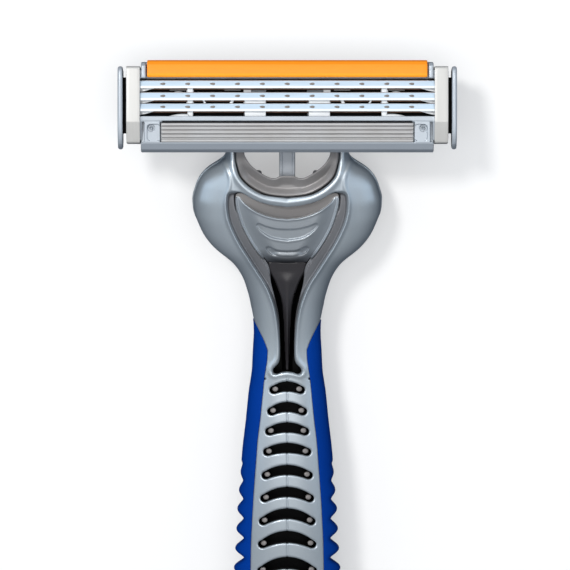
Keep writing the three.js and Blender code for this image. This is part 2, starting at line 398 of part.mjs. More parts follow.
// blades and their bent supports
const T = [Math.cos(BLADE_TILT), -Math.sin(BLADE_TILT)], N = [Math.sin(BLADE_TILT), Math.cos(BLADE_TILT)];
const along = (v, s, d) => [v + T[0] * s - N[0] * d, -0.05 + T[1] * s - N[1] * d];
function blade(v) {
  return across([along(v, 0, 0), along(v, 0.28, BLADE_T), along(v, BLADE_LEN, BLADE_T), along(v, BLADE_LEN, 0)], -BLADE_HALF_X, BLADE_HALF_X);
}
function support(v) {
  const top = along(v, 1.12, BLADE_T + 0.03), front = along(v, 0.4, BLADE_T + 0.03), under = along(v, 0.4, BLADE_T + 0.03 + SUPPORT_T);
  const inner = along(v, 0.94, BLADE_T + 0.03 + SUPPORT_T);
  return across([front, under, inner, [top[0] - 0.2, -1.95], [top[0], -1.95], top], -BLADE_HALF_X, BLADE_HALF_X);
}
// spring fingers: slanted cantilevers from the end walls up to the supports
function finger(v, s) {
  const pts = [[19.15, -2.0], [19.15, -1.4], [17.1, -0.66], [16.85, -0.66], [16.85, -0.92]].map(([x, w]) => [s * x, w]);
  const shape = s > 0 ? pts.reverse() : pts;
  const m = new THREE.Matrix4().set(1, 0, 0, 0, 0, 0, -1, 0, 0, 1, 0, 0, 0, 0, 0, 1);
  return prism(shape, -(v + 0.42), -(v - 0.2)).applyMatrix4(m);
}

// ---------------------------------------------------------------- assembly
const plastic = (color, roughness = 0.42, metalness = 0.0) => new THREE.MeshStandardMaterial({ color, roughness, metalness });
const SILVER = plastic(0x9ca6af, 0.38, 0.35), HEAD = plastic(0x8d949c, 0.4, 0.3), BLACK = plastic(0x111214, 0.6);
const BLUE = plastic(0x00388a, 0.55), STEEL = plastic(0xd6e3ee, 0.22, 1.0), CLIP = plastic(0xe6e4e0, 0.35, 0.9);
const ORANGE = plastic(0xffab3d, 0.5), FRAME = plastic(0x8d959e, 0.4), GUARD = plastic(0xb1b5b8, 0.6), SPRING = plastic(0xb0b4b8, 0.3, 1.0);
const piece = (name, solid, material) => {
  const mesh = new THREE.Mesh(solid.isBufferGeometry ? solid : toGeometry(solid), material);
  mesh.name = name;
  return mesh;
};
const handle = new THREE.Group();
handle.add(
  piece('front_shell', frontShell, SILVER), piece('back_shell', backShell, SILVER), piece('core_inlay', core, BLACK),
  piece('grip_right', grips.intersect(rightSide), BLUE), piece('grip_left', grips.intersect(leftSide), BLUE),
  piece('back_grip_pad', backPad, BLUE), piece('butt_cap', buttCap, HEAD),
  piece('release_button', button, HEAD), piece('ejector', ejector, BLACK), piece('button_spring', buttonSpring, SPRING),
  piece('plunger', plunger, HEAD), piece('plunger_spring', plungerSpring, SPRING), piece('yoke', yoke, HEAD));

const cartridge = new THREE.Group();
cartridge.rotation.x = -HANDLE_ANGLE;
cartridge.add(
  piece('cartridge_housing', housing, FRAME), piece('blade_carrier', carrier, BLACK), piece('guard_strip', guard, GUARD),
  piece('lubricating_strip', strip, ORANGE), piece('end_clip_left', clip(-1), CLIP), piece('end_clip_right', clip(1), CLIP));
BLADE_EDGE_V.forEach((v, i) => {
  cartridge.add(piece(`blade_${i + 1}`, toSolid(blade(v)), STEEL), piece(`blade_support_${i + 1}`, toSolid(support(v)), STEEL),
    piece(`spring_finger_${i + 1}_left`, toSolid(finger(v, -1)), FRAME), piece(`spring_finger_${i + 1}_right`, toSolid(finger(v, 1)), FRAME));
});

const razor = new THREE.Group();
razor.name = 'cartridge_razor';
razor.add(handle, cartridge);
razor.position.set(0, -BBOX_MID_Y, -REST_Z);
export default razor;
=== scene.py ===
import math

import bmesh
import bpy
import numpy as np
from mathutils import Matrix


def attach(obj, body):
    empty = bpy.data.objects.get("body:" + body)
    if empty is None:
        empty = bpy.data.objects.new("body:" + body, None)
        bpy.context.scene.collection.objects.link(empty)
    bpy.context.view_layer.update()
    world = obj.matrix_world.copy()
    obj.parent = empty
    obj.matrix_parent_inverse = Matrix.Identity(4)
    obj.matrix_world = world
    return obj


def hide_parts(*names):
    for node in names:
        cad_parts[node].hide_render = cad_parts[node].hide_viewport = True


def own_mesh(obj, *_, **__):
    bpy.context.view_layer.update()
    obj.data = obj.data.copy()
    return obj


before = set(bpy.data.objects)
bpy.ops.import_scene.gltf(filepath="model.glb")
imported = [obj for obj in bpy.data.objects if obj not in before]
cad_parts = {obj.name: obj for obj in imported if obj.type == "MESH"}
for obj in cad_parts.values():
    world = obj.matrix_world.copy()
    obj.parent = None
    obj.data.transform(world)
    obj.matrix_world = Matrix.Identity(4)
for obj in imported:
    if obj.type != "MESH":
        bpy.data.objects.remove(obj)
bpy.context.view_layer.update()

import openvdb
from mathutils import Matrix, Vector

FINE = 1.0          # voxel scale

# ------------------------------------------------------------------ frames, in millimetres
S, C = math.sin(math.radians(20)), math.cos(math.radians(20))
DY, DZ = 58.41, 12.45                 # handle frame to row frame
WALL, GAP = 1.15, 0.15
PIVOT_Y, PIVOT_Z = 2.2 * C - 3.0 * S, -2.2 * S - 3.0 * C
PLUNGER_Z = PIVOT_Z - 3.1
f32 = np.float32


def handle_to_row(p):
    return (np.asarray(p, float) + (0, DY, DZ)) / 1000


def face_to_row(p):
    p = np.asarray(p, float)
    x, v, w = p[..., 0], p[..., 1], p[..., 2]
    return np.stack([x, v * C + w * S + DY, -v * S + w * C + DZ], -1) / 1000


# ------------------------------------------------------------------ tables of the shape
PROFILE = [
    (1.2, -4.6, -8.4), (-2, -4.0, -9.3), (-5, -3.5, -10.9), (-9, -3.2, -12.2), (-13, -3.3, -12.7),
    (-17, -3.7, -12.6), (-21, -4.1, -12.1), (-26, -4.2, -11.6), (-32, -3.6, -11.2), (-38, -2.7, -11.0),
    (-46, -1.7, -10.9), (-54, -1.1, -11.0), (-62, -0.9, -11.2), (-72, -1.1, -11.5), (-84, -1.9, -12.0),
    (-96, -3.1, -12.5), (-108, -4.6, -12.75), (-118, -6.1, -12.6), (-124, -7.2, -12.0), (-127.6, -8.3, -11.0)]
HALF_WIDTH = [
    (1.2, 7.5), (-1.9, 7.6), (-2.8, 7.9), (-3.6, 8.83), (-4.5, 10.1), (-5.3, 10.79), (-6.2, 11.3), (-7.0, 11.56),
    (-8.65, 11.95), (-10.3, 11.84), (-11.9, 11.29), (-13.2, 10.66), (-14.4, 9.79), (-15.2, 9.03), (-16.0, 8.03),
    (-16.84, 7.08), (-18.0, 6.22), (-19.3, 5.57), (-20.9, 5.07), (-22.5, 4.69), (-25.1, 4.45), (-26.5, 4.39),
    (-29.1, 4.52), (-31.7, 4.65), (-34.4, 5.04), (-38.3, 5.43), (-42.35, 5.89), (-45.2, 6.11), (-47.6, 6.32),
    (-50.2, 6.55), (-53.0, 6.68), (-55.7, 6.84), (-58.4, 7.02), (-64, 7.25), (-72, 7.35), (-80, 7.25), (-88, 6.95),
    (-95, 6.55), (-104, 6.0), (-112, 5.5), (-118, 5.05), (-122, 4.6), (-125, 3.9), (-126.8, 2.9), (-127.6, 1.7)]
VALLEY = [(-42.35, 5.85), (-43.8, 5.71), (-46.4, 5.64), (-48.85, 5.6), (-51.6, 5.54), (-54.2, 5.48), (-57, 5.45),
          (-64, 5.6), (-72, 5.75), (-80, 5.85), (-88, 6.1), (-93, 6.45)]
PEAKS = [-45.18, -47.63, -50.22, -52.98, -55.69, -58.42]
while len(PEAKS) < 18:
    PEAKS.append(PEAKS[-1] - 2.75)
CORE_HALF = [(-14.0, 5.0), (-17.2, 4.6), (-19.5, 4.1), (-22, 3.5), (-26, 3.2), (-30, 3.4), (-36, 4.0), (-42, 4.7), (-46, 4.85),
             (-58, 4.9), (-64, 5.0), (-72, 5.15), (-84, 5.2), (-96, 5.0), (-104, 4.5), (-112, 3.9), (-116, 3.5), (-119, 3.1)]
SPINE_EDGE = [(15, -17.6), (5.4, -18.3), (4.62, -19.1), (4.16, -20.9), (3.6, -22.1), (2.97, -23.4), (2.47, -24.7),
              (2.53, -26), (2.72, -27.2), (2.92, -28.5), (3.17, -31.0), (3.43, -33.6), (3.75, -36.2), (3.94, -38.7),
              (4.14, -41.3), (4.33, -43.9), (4.47, -46.4), (4.6, -49.0), (4.67, -51.6), (4.75, -58), (4.75, -66),
              (4.6, -76), (4.3, -86), (3.9, -96), (3.5, -106), (3.3, -125)]
# arched windows: top, bottom at the middle, half width, v of the ends
WINDOWS = [(-28.68, -29.95, 2.24, -30.2), (-31.29, -32.56, 2.52, -32.94), (-33.9, -35.18, 2.79, -35.5),
           (-36.52, -37.8, 3.05, -38.12), (-39.34, -40.62, 3.25, -41.13), (-42.16, -43.45, 3.42, -44.09),
           (-44.93, -46.29, 3.6, -47.06), (-47.84, -49.39, 3.72, -50.04), (-51.21, -52.78, 3.83, -53.5),
           (-54.7, -56.3, 3.85, -57.0), (-58.3, -59.9, 3.85, -60.6), (-61.9, -63.5, 3.8, -64.2), (-65.5, -67.05, 3.7, -67.7),
           (-69.1, -70.6, 3.5, -71.2), (-72.6, -74.0, 3.2, -74.5), (-76.0, -77.2, 2.8, -77.6)]


def pchip(x, y, q):
    h, d = np.diff(x), np.diff(y) / np.diff(x)
    m = np.zeros_like(y)
    m[0], m[-1] = d[0], d[-1]
    for i in range(1, len(x) - 1):
        if d[i - 1] * d[i] > 0:
            w1, w2 = 2 * h[i] + h[i - 1], h[i] + 2 * h[i - 1]
            m[i] = (w1 + w2) / (w1 / d[i - 1] + w2 / d[i])
    i = np.clip(np.searchsorted(x, q) - 1, 0, len(x) - 2)
    t = np.clip((q - x[i]) / h[i], 0, 1)
    return ((1 + 2 * t) * (1 - t) ** 2 * y[i] + t * (1 - t) ** 2 * h[i] * m[i]
            + t * t * (3 - 2 * t) * y[i + 1] + t * t * (t - 1) * h[i] * m[i + 1])


class Curve:
    """A table read as a smooth curve of its first column."""
    step = 0.05

    def __init__(self, table, k=1, sigma=0.3, lo=-130.0, hi=4.0):
        t = np.array([(r[0], r[k]) for r in table][::-1], float)
        self.y = np.arange(lo, hi, self.step)
        v = pchip(t[:, 0], t[:, 1], self.y)
        n = int(4 * sigma / self.step) + 1
        g = np.exp(-0.5 * (np.arange(-n, n + 1) * self.step / sigma) ** 2)
        self.v = np.convolve(np.pad(v, n, mode="edge"), g / g.sum(), "valid")
        self.d = np.gradient(self.v, self.step)

    def __call__(self, y):
        return np.interp(y, self.y, self.v)

    def slope(self, y):
        return np.interp(y, self.y, self.d)


A_PEAK = Curve(HALF_WIDTH, 1, 0.3)
FRONT, BACK = Curve(PROFILE, 1, 1.1), Curve(PROFILE, 2, 1.1)
CORE_A = Curve(CORE_HALF, 1, 0.8)
VALLEY_A = Curve(VALLEY, 1, 0.8)
N_FRONT = Curve([(4, 2.75), (-14, 2.75), (-24, 2.5), (-40, 2.35), (-130, 2.4)], 1, 2.0)
N_BACK = Curve([(4, 2.3), (-16, 2.3), (-30, 2.5), (-130, 2.6)], 1, 2.0)


def valley_width(y):
    return np.where((y > -42.35) | (y < -93), A_PEAK(y), np.minimum(A_PEAK(y), VALLEY_A(y)))


def scallop_table():
    ys = np.arange(-130, 4, 0.05)
    peak, low = A_PEAK(ys), valley_width(ys)
    p = np.array(PEAKS)
    out = peak.copy()
    for i in range(len(p)):
        nxt = p[i + 1] if i + 1 < len(p) else p[i] - 2.75
        prv = p[i - 1] if i else p[i] + 2.55
        m = (ys <= (p[i] + prv) / 2) & (ys > (p[i] + nxt) / 2)
        half = np.where(ys > p[i], (prv - p[i]) / 2, (p[i] - nxt) / 2)
        t = np.abs(ys - p[i]) / half
        lobe = (0.5 + 0.5 * np.cos(np.pi * t)) ** 0.85
        out[m] = (low + (peak - low) * lobe)[m]
    k = np.exp(-0.5 * (np.arange(-12, 13) * 0.05 / 0.13) ** 2)
    out = np.convolve(np.pad(out, 12, mode="edge"), k / k.sum(), "valid")
    return ys, out, np.gradient(out, 0.05)


SC_Y, SC_A, SC_D = scallop_table()


# ------------------------------------------------------------------ distance functions
def smax(a, b, k):
    h = np.maximum(k - np.abs(a - b), 0) / k
    return np.maximum(a, b) + h * h * k * 0.25


def smin(a, b, k):
    return -smax(-a, -b, k)


def ease(t):
    t = np.clip(t, 0, 1)
    return t * t * (3 - 2 * t)


def section(P, a, f, b, nf, nb, da, df, db):
    """Distance to a tube of superellipse sections, half width a, front f, back b."""
    X, Y, Z = P
    zm, hb = (f + b) / 2, np.maximum((f - b) / 2, 0.25)
    a = np.maximum(a, 0.25)
    dzm, dhb = (df + db) / 2, (df - db) / 2
    u, t = np.abs(X) / a + 1e-6, (Z - zm) / hb
    at = np.abs(t) + 1e-6
    n = np.where(t > 0, nf, nb)
    u1, t1 = u ** (n - 1), at ** (n - 1)
    q = u1 * u + t1 * at
    rho = q ** (1 / n)
    c = rho / q
    gx, gz = c * u1 / a, c * t1 / hb
    gy = c * (u1 * u * da / a + t1 * np.sign(t) * (dzm + t * dhb) / hb)
    return (rho - 1) / np.sqrt(gx * gx + gy * gy + gz * gz + 1e-9)


def env(P, off=0.0):
    Y = P[1]
    return section(P, A_PEAK(Y) - off, FRONT(Y) - off, BACK(Y) + off, N_FRONT(Y), N_BACK(Y),
                   A_PEAK.slope(Y), FRONT.slope(Y), BACK.slope(Y))


def spline(pts, sub=6):
    p = np.array(pts, float)
    p = np.vstack([2 * p[0] - p[1], p, 2 * p[-1] - p[-2]])
    out = []
    for i in range(1, len(p) - 2):
        for j in range(sub):
            t = j / sub
            out.append(0.5 * ((2 * p[i]) + (p[i + 1] - p[i - 1]) * t + (2 * p[i - 1] - 5 * p[i] + 4 * p[i + 1] - p[i + 2]) * t * t
                              + (-p[i - 1] + 3 * p[i] - 3 * p[i + 1] + p[i + 2]) * t ** 3))
    out.append(p[-2])
    return np.array(out)


def mirror(half):
    half = np.asarray(half, float)
    back = half[::-1].copy()
    back = back[np.abs(back[:, 0]) > 1e-6]
    back[:, 0] *= -1
    return np.vstack([half, back])


def polygon_distance(x, y, poly):
    d2 = np.full(x.shape, 1e9)
    inside = np.zeros(x.shape, bool)
    for (ax, ay), (bx, by) in zip(poly, np.roll(poly, -1, 0)):
        ex, ey = bx - ax, by - ay
        l2 = ex * ex + ey * ey
        if l2 < 1e-12:
            continue
        wx, wy = x - ax, y - ay
        t = np.clip((wx * ex + wy * ey) / l2, 0, 1)
        d2 = np.minimum(d2, (wx - t * ex) ** 2 + (wy - t * ey) ** 2)
        if ay != by:
            inside ^= ((ay > y) != (by > y)) & (x < ax + ex * (y - ay) / ey)
    return np.where(inside, -1, 1) * np.sqrt(d2)


def line_distance(x, y, line):
    d2 = np.full(x.shape, 1e9)
    for (ax, ay), (bx, by) in zip(line[:-1], line[1:]):
        ex, ey = bx - ax, by - ay
        wx, wy = x - ax, y - ay
        t = np.clip((wx * ex + wy * ey) / (ex * ex + ey * ey + 1e-12), 0, 1)
        d2 = np.minimum(d2, (wx - t * ex) ** 2 + (wy - t * ey) ** 2)
    return np.sqrt(d2)


class Map:
    """A function of two lengths, kept on a grid and read between its points."""

    def __init__(self, x0, x1, y0, y1, h, make):
        self.x0, self.y0, self.h = x0, y0, h
        gx, gy = np.arange(x0, x1 + h, h), np.arange(y0, y1 + h, h)
        self.t = make(*np.meshgrid(gx, gy, indexing="ij")).astype(f32)

    def __call__(self, x, y):
        fx = np.clip((x - self.x0) / self.h, 0, self.t.shape[0] - 1.001)
        fy = np.clip((y - self.y0) / self.h, 0, self.t.shape[1] - 1.001)
        i, j = fx.astype(np.int32), fy.astype(np.int32)
        fx, fy = fx - i, fy - j
        t = self.t
        return (t[i, j] * (1 - fx) * (1 - fy) + t[i + 1, j] * fx * (1 - fy) + t[i, j + 1] * (1 - fx) * fy + t[i + 1, j + 1] * fx * fy)


def head_map(make):
    return Map(0, 13.4, -29, 5, 0.04, make)


# outlines of the head, right half, face frame
POCKET = mirror(np.vstack([spline([(0, -5.61), (2.91, -5.2), (4.59, -4.33), (5.91, -3.0), (6.42, -1.35), (6.53, 0.14)]), [(6.55, 3)], [(0, 3)]]))
SEE = mirror(np.vstack([spline([(0, -3.2), (2.3, -3.2), (3.5, -2.6), (4.7, -1.4), (5.7, 0.3), (5.75, 3)]), [(0, 3)]]))
RECESS = mirror(spline([(0, -6.71), (2.04, -6.46), (3.91, -5.9), (5.4, -5.1), (6.3, -4.75), (7.1, -4.75), (7.6, -5.2), (7.72, -6.2), (7.62, -7.6),
                        (7.22, -9.07), (6.18, -11.25), (4.76, -13.52), (3.68, -15.2), (2.85, -16.5), (2.2, -17.9), (1.72, -19.4), (1.4, -21.0),
                        (1.25, -22.5), (1.17, -24.2), (1.2, -25.6), (1.45, -26.3), (2.0, -26.95), (2.05, -27.65), (1.6, -27.95), (0.9, -27.75),
                        (0, -27.6)], 4))
HOLE = mirror(spline([(0, -6.71), (2.04, -6.46), (3.91, -5.9), (5.4, -5.08), (6.1, -4.85), (6.58, -5.1), (6.62, -5.9), (6.47, -6.95), (5.82, -9.0),
                      (4.85, -10.94), (3.8, -12.56), (2.95, -13.75), (2.5, -14.6), (2.18, -15.82), (1.8, -17.08), (1.48, -18.35), (1.17, -19.74),
                      (1.01, -20.88), (0.94, -22.14), (0.9, -24.0), (0.92, -25.6), (1.1, -26.35), (1.7, -27.0), (1.75, -27.45), (1.35, -27.72),
                      (0.7, -27.5), (0, -27.41)], 4))
PAD = mirror(np.vstack([spline([(0, -8.19), (1.83, -7.98), (3.79, -7.3), (5.2, -6.35), (5.75, -5.72), (6.1, -5.4), (6.45, -5.5), (6.52, -6.1)], 4),
                        spline([(6.37, -6.95), (5.73, -9.0), (4.76, -10.92), (3.71, -12.52), (2.86, -13.7), (2.45, -14.35), (2.15, -15.4)], 4), [(0, -15.4)]]))
FLANGE = mirror(spline([(0, -6.66), (2.04, -6.41), (3.91, -5.85), (5.3, -5.08), (6.0, -4.92), (6.44, -5.16), (6.5, -5.9), (6.36, -6.95), (5.70, -9.0),
                        (5.2, -9.9), (0, -10.4)], 4))
PAD_SIDES = mirror(np.vstack([[(0, -2.0), (7.0, -2.0)], spline([(6.6, -5.2), (6.52, -6.1), (6.37, -6.95), (5.73, -9.0), (4.76, -10.92), (3.71, -12.52), (2.86, -13.7),
                                                              (2.45, -14.35), (1.9, -16.5)], 4), [(0, -19)]]))
SCOOP_1 = mirror(spline([(0, -9.5), (1.3, -9.42), (2.6, -9.12), (3.5, -8.76), (3.82, -8.85), (3.75, -9.2), (3.0, -9.93), (1.8, -10.55), (0, -10.85)], 5))
SCOOP_2 = mirror(spline([(0, -12.2), (1.2, -12.08), (2.05, -11.72), (2.5, -11.62), (2.66, -11.95), (2.1, -12.6), (1.1, -12.98), (0, -13.08)], 5))
LIP = spline([(8.0, -0.9), (7.5, -2.2), (7.16, -3.2), (7.2, -4.2), (7.5, -5.1), (7.72, -6.2), (7.62, -7.6), (7.22, -9.07), (6.18, -11.25),
              (4.76, -13.52), (3.68, -15.2), (2.85, -16.5), (2.2, -17.9), (1.72, -19.4), (1.45, -21.0), (1.3, -22.5), (1.25, -24.2), (1.28, -25.5),
              (1.55, -26.2), (2.1, -26.85), (2.2, -27.6), (1.7, -28.05), (0.9, -27.9), (0, -27.75)], 3)
CREST = spline([(0, -6.2), (2.5, -5.85), (4.3, -5.12), (5.6, -4.15), (6.45, -3.0), (6.9, -1.6), (7.0, -0.3), (7.0, 1.2)], 4)

hole2 = head_map(lambda x, v: polygon_distance(x, v, HOLE))
recess2 = head_map(lambda x, v: polygon_distance(x, v, RECESS))
pocket2 = head_map(lambda x, v: polygon_distance(x, v, POCKET))
see2 = head_map(lambda x, v: polygon_distance(x, v, SEE))
pad2 = head_map(lambda x, v: polygon_distance(x, v, PAD))
side2 = head_map(lambda x, v: polygon_distance(x, v, PAD_SIDES))
flange2d = head_map(lambda x, v: polygon_distance(x, v, FLANGE))


def shell_drop(x, v):
    """How far the front of the head lies below the plain section."""
    lip, crest = line_distance(x, v, LIP), line_distance(x, v, CREST)
    inside = -polygon_distance(x, v, RECESS)
    fade = ease((v + 25.5) / 6)
    d = 1.05 * ease((inside + 0.02) / 0.50) * (0.35 + 0.65 * fade)
    d -= 0.17 * np.exp(-(lip / 0.26) ** 2) * (0.5 + 0.5 * ease((v + 23) / 5))
    d -= 0.20 * np.exp(-(crest / 0.34) ** 2)
    # seat of the button pad in the groove floor
    d += 0.12 * ease((0.05 - polygon_distance(x, v, PAD)) / 0.04) * (v < -6.3)
    # wings a little lower than the ridge round the thumb recess
    wing = ease((x - 7.3) / 1.6) * ease((v + 12.0) / 5) * ease((1.5 - v) / 2)
    return d + 0.14 * wing


drop2 = head_map(shell_drop)


def pad_drop(x, v):
    t = -polygon_distance(x, v, PAD_SIDES)
    # rim bead along the sides, a thin furrow inside it, then the crown
    d = 0.96 - 0.17 * np.exp(-((t - 0.13) / 0.13) ** 2) + 0.06 * np.exp(-((t - 0.40) / 0.12) ** 2) - 0.78 * ease((t - 0.42) / 1.9) ** 0.8
    low = ease((-v - 12.4) / 2.1)
    d = d * (1 - low) + 1.36 * low
    top = -polygon_distance(x, v, PAD)
    arc = np.where(v > -9, np.exp(-((top - 0.15) / 0.15) ** 2), 0) * ease((5.9 - x) / 1.0)
    d -= 0.10 * arc
    s1 = -polygon_distance(x, v, SCOOP_1)
    d += 0.27 * ease((s1 + 0.08) / 0.22) - 0.07 * np.exp(-((s1 + 0.20) / 0.15) ** 2) * ease((-v - 9.6) / 0.8)
    s2 = -polygon_distance(x, v, SCOOP_2)
    d += 0.46 * ease((s2 + 0.08) / 0.26) * (0.25 + 0.75 * ease((v + 12.95) / 0.75))
    d -= 0.11 * np.exp(-((s2 + 0.28) / 0.20) ** 2) * ease((-v - 12.3) / 0.7)
    return d


pad_drop2 = head_map(pad_drop)


def window_field(x, v):
    d = np.full(x.shape, 9.0)
    for top, bottom, hx, end in WINDOWS:
        m = (v < top + 1.5) & (v > end - 1.5)
        if not m.any():
            continue
        mid, r0, r1 = (top + bottom) / 2, (top - bottom) / 2, 0.50
        xe, ve = hx - r1, end + r1 - 0.05
        xs = np.linspace(-xe, xe, 23)
        line = np.stack([xs, mid + (ve - mid) * (xs / xe) ** 2], -1)
        xm, vm = x[m], v[m]
        r = r0 + (r1 - r0) * np.clip(np.abs(xm) / xe, 0, 1) ** 2
        d[m] = np.minimum(d[m], line_distance(xm, vm, line) - r)
    return d


win2 = Map(0, 5.4, -80, -27, 0.06, window_field)
SPINE = mirror(np.vstack([[(0, 12), (15, 12), (15, -17.6)], spline(SPINE_EDGE[1:7], 4), spline(SPINE_EDGE[7:], 3), [(3.3, -150), (0, -150)]]))
spine2 = Map(0, 14, -131, 5, 0.1, lambda x, v: polygon_distance(x, v, SPINE))


def face_v(P):
    return P[1] * C - P[2] * S


def mid_z(Y):
    return (FRONT(Y) + BACK(Y)) / 2


# ------------------------------------------------------------------ surface from a distance function
def project(p, f, h, steps=3):
    e = 0.25 * h

    def grad(q):
        g = np.empty_like(q)
        for k in range(3):
            d = np.zeros(3)
            d[k] = e
            g[:, k] = (f((q + d).T) - f((q - d).T)) / (2 * e)
        return g

    for _ in range(steps):
        g = grad(p)
        g2 = np.maximum((g * g).sum(1), 0.05)
        p = p - g * np.clip(f(p.T) / g2, -h, h)[:, None]
    g = grad(p)
    return p, g / np.maximum(np.linalg.norm(g, axis=1), 1e-6)[:, None]


def isosurface(f, lo, hi, h):
    """Quads of f = 0 inside the box lo..hi, voxel h; f is only read near the surface."""
    h *= FINE
    lo, hi = np.array(lo, float), np.array(hi, float)
    B = 4
    nb = np.ceil((hi - lo) / (h * B)).astype(int) + 1
    ci = np.stack(np.meshgrid(*[np.arange(n) for n in nb], indexing="ij"), -1).reshape(-1, 3)
    centre = lo + (ci * B + (B - 1) / 2) * h
    fc = f(centre.T)
    near = np.abs(fc) < h * B * 1.25
    dense = np.repeat(np.repeat(np.repeat(np.where(fc < 0, -1.0, 1.0).astype(f32).reshape(nb), B, 0), B, 1), B, 2) * h * 3
    off = np.stack(np.meshgrid(*[np.arange(B)] * 3, indexing="ij"), -1).reshape(-1, 3)
    sel = ci[near]
    for s in range(0, len(sel), 16000):
        idx = (sel[s:s + 16000, None, :] * B + off[None]).reshape(-1, 3)
        dense[idx[:, 0], idx[:, 1], idx[:, 2]] = np.clip(f((lo + idx * h).T), -3 * h, 3 * h)
    # closed at the box
    for k in range(3):
        for e in (0, -1):
            i = [slice(None)] * 3
            i[k] = e
            dense[tuple(i)] = np.maximum(dense[tuple(i)], h)
    grid = openvdb.FloatGrid(float(3 * h))
    grid.copyFromArray(dense)
    pts, quads = grid.convertToQuads(0.0)
    p = lo + pts.astype(float) * h
    p, _ = project(p, f, h, 2)
    # even out the mesh along the surface, then settle it again
    e = np.vstack([quads[:, [0, 1]], quads[:, [1, 2]], quads[:, [2, 3]], quads[:, [3, 0]]]).astype(np.int64)
    cnt = np.bincount(e[:, 0], minlength=len(p)) + np.bincount(e[:, 1], minlength=len(p))
    for _ in range(2):
        avg = np.stack([np.bincount(e[:, 0], p[e[:, 1], k], len(p)) + np.bincount(e[:, 1], p[e[:, 0], k], len(p)) for k in range(3)], -1)
        avg /= np.maximum(cnt, 1)[:, None]
        p = p + 0.5 * (avg - p)
        p, nrm = project(p, f, h, 1)
    return p, quads, nrm


def island_filter(p, quads, keep=80):
    """Leaves out loose specks of under keep faces."""
    parent = np.arange(len(p))
    e = np.vstack([quads[:, [0, 1]], quads[:, [1, 2]], quads[:, [2, 3]]])
    while True:
        lowest = parent.copy()
        np.minimum.at(lowest, e[:, 0], parent[e[:, 1]])
        np.minimum.at(lowest, e[:, 1], parent[e[:, 0]])
        lowest = lowest[lowest]
        lowest = lowest[lowest]
        if (lowest == parent).all():
            break
        parent = lowest
    label = parent[quads[:, 0]]
    ids, n = np.unique(label, return_counts=True)
    return quads[np.isin(label, ids[n >= keep])]


def new_object(name, verts, faces, material=None, smooth=True, normals=None):
    me = bpy.data.meshes.new(name)
    verts = np.asarray(verts, float)
    faces = np.asarray(faces)
    me.vertices.add(len(verts))
    me.vertices.foreach_set("co", verts.astype(f32).ravel())
    k = faces.shape[1]
    me.loops.add(faces.size)
    me.loops.foreach_set("vertex_index", faces.astype(np.int32).ravel())
    me.polygons.add(len(faces))
    me.polygons.foreach_set("loop_start", np.arange(0, faces.size, k, dtype=np.int32))
    me.update(calc_edges=True)
    me.validate()
    me.polygons.foreach_set("use_smooth", np.full(len(me.polygons), smooth))
    if normals is not None:
        me.normals_split_custom_set_from_vertices(normals.astype(f32))
    ob = bpy.data.objects.new(name, me)
    bpy.context.scene.collection.objects.link(ob)
    if material:
        me.materials.append(material)
    return ob


def sdf_piece(name, f, lo, hi, h, material, frame_fn=handle_to_row):
    p, quads, nrm = isosurface(f, lo, hi, h)
    # quads come out facing in or out as the field is signed: settle it by volume
    a, b, c, d = (p[quads[:, i]] for i in range(4))
    vol = (a * np.cross(b, c)).sum() + (a * np.cross(c, d)).sum()
    if vol < 0:
        quads = quads[:, ::-1]
    quads = island_filter(p, quads)
    used = np.unique(quads)
    remap = np.full(len(p), -1)
    remap[used] = np.arange(len(used))
    quads, p, nrm = remap[quads], p[used], nrm[used]
    q = frame_fn(p)
    n = frame_fn(p + nrm) - q
    n /= np.linalg.norm(n, axis=1)[:, None]
    ob = new_object(name, q, quads, material, True, n)
    print(f"{name}: {len(quads)} quads")
    return ob


# ------------------------------------------------------------------ materials
def node(nt, kind, **values):
    n = nt.nodes.new(kind)
    for k, v in values.items():
        if hasattr(n, k):
            setattr(n, k, v)
    return n


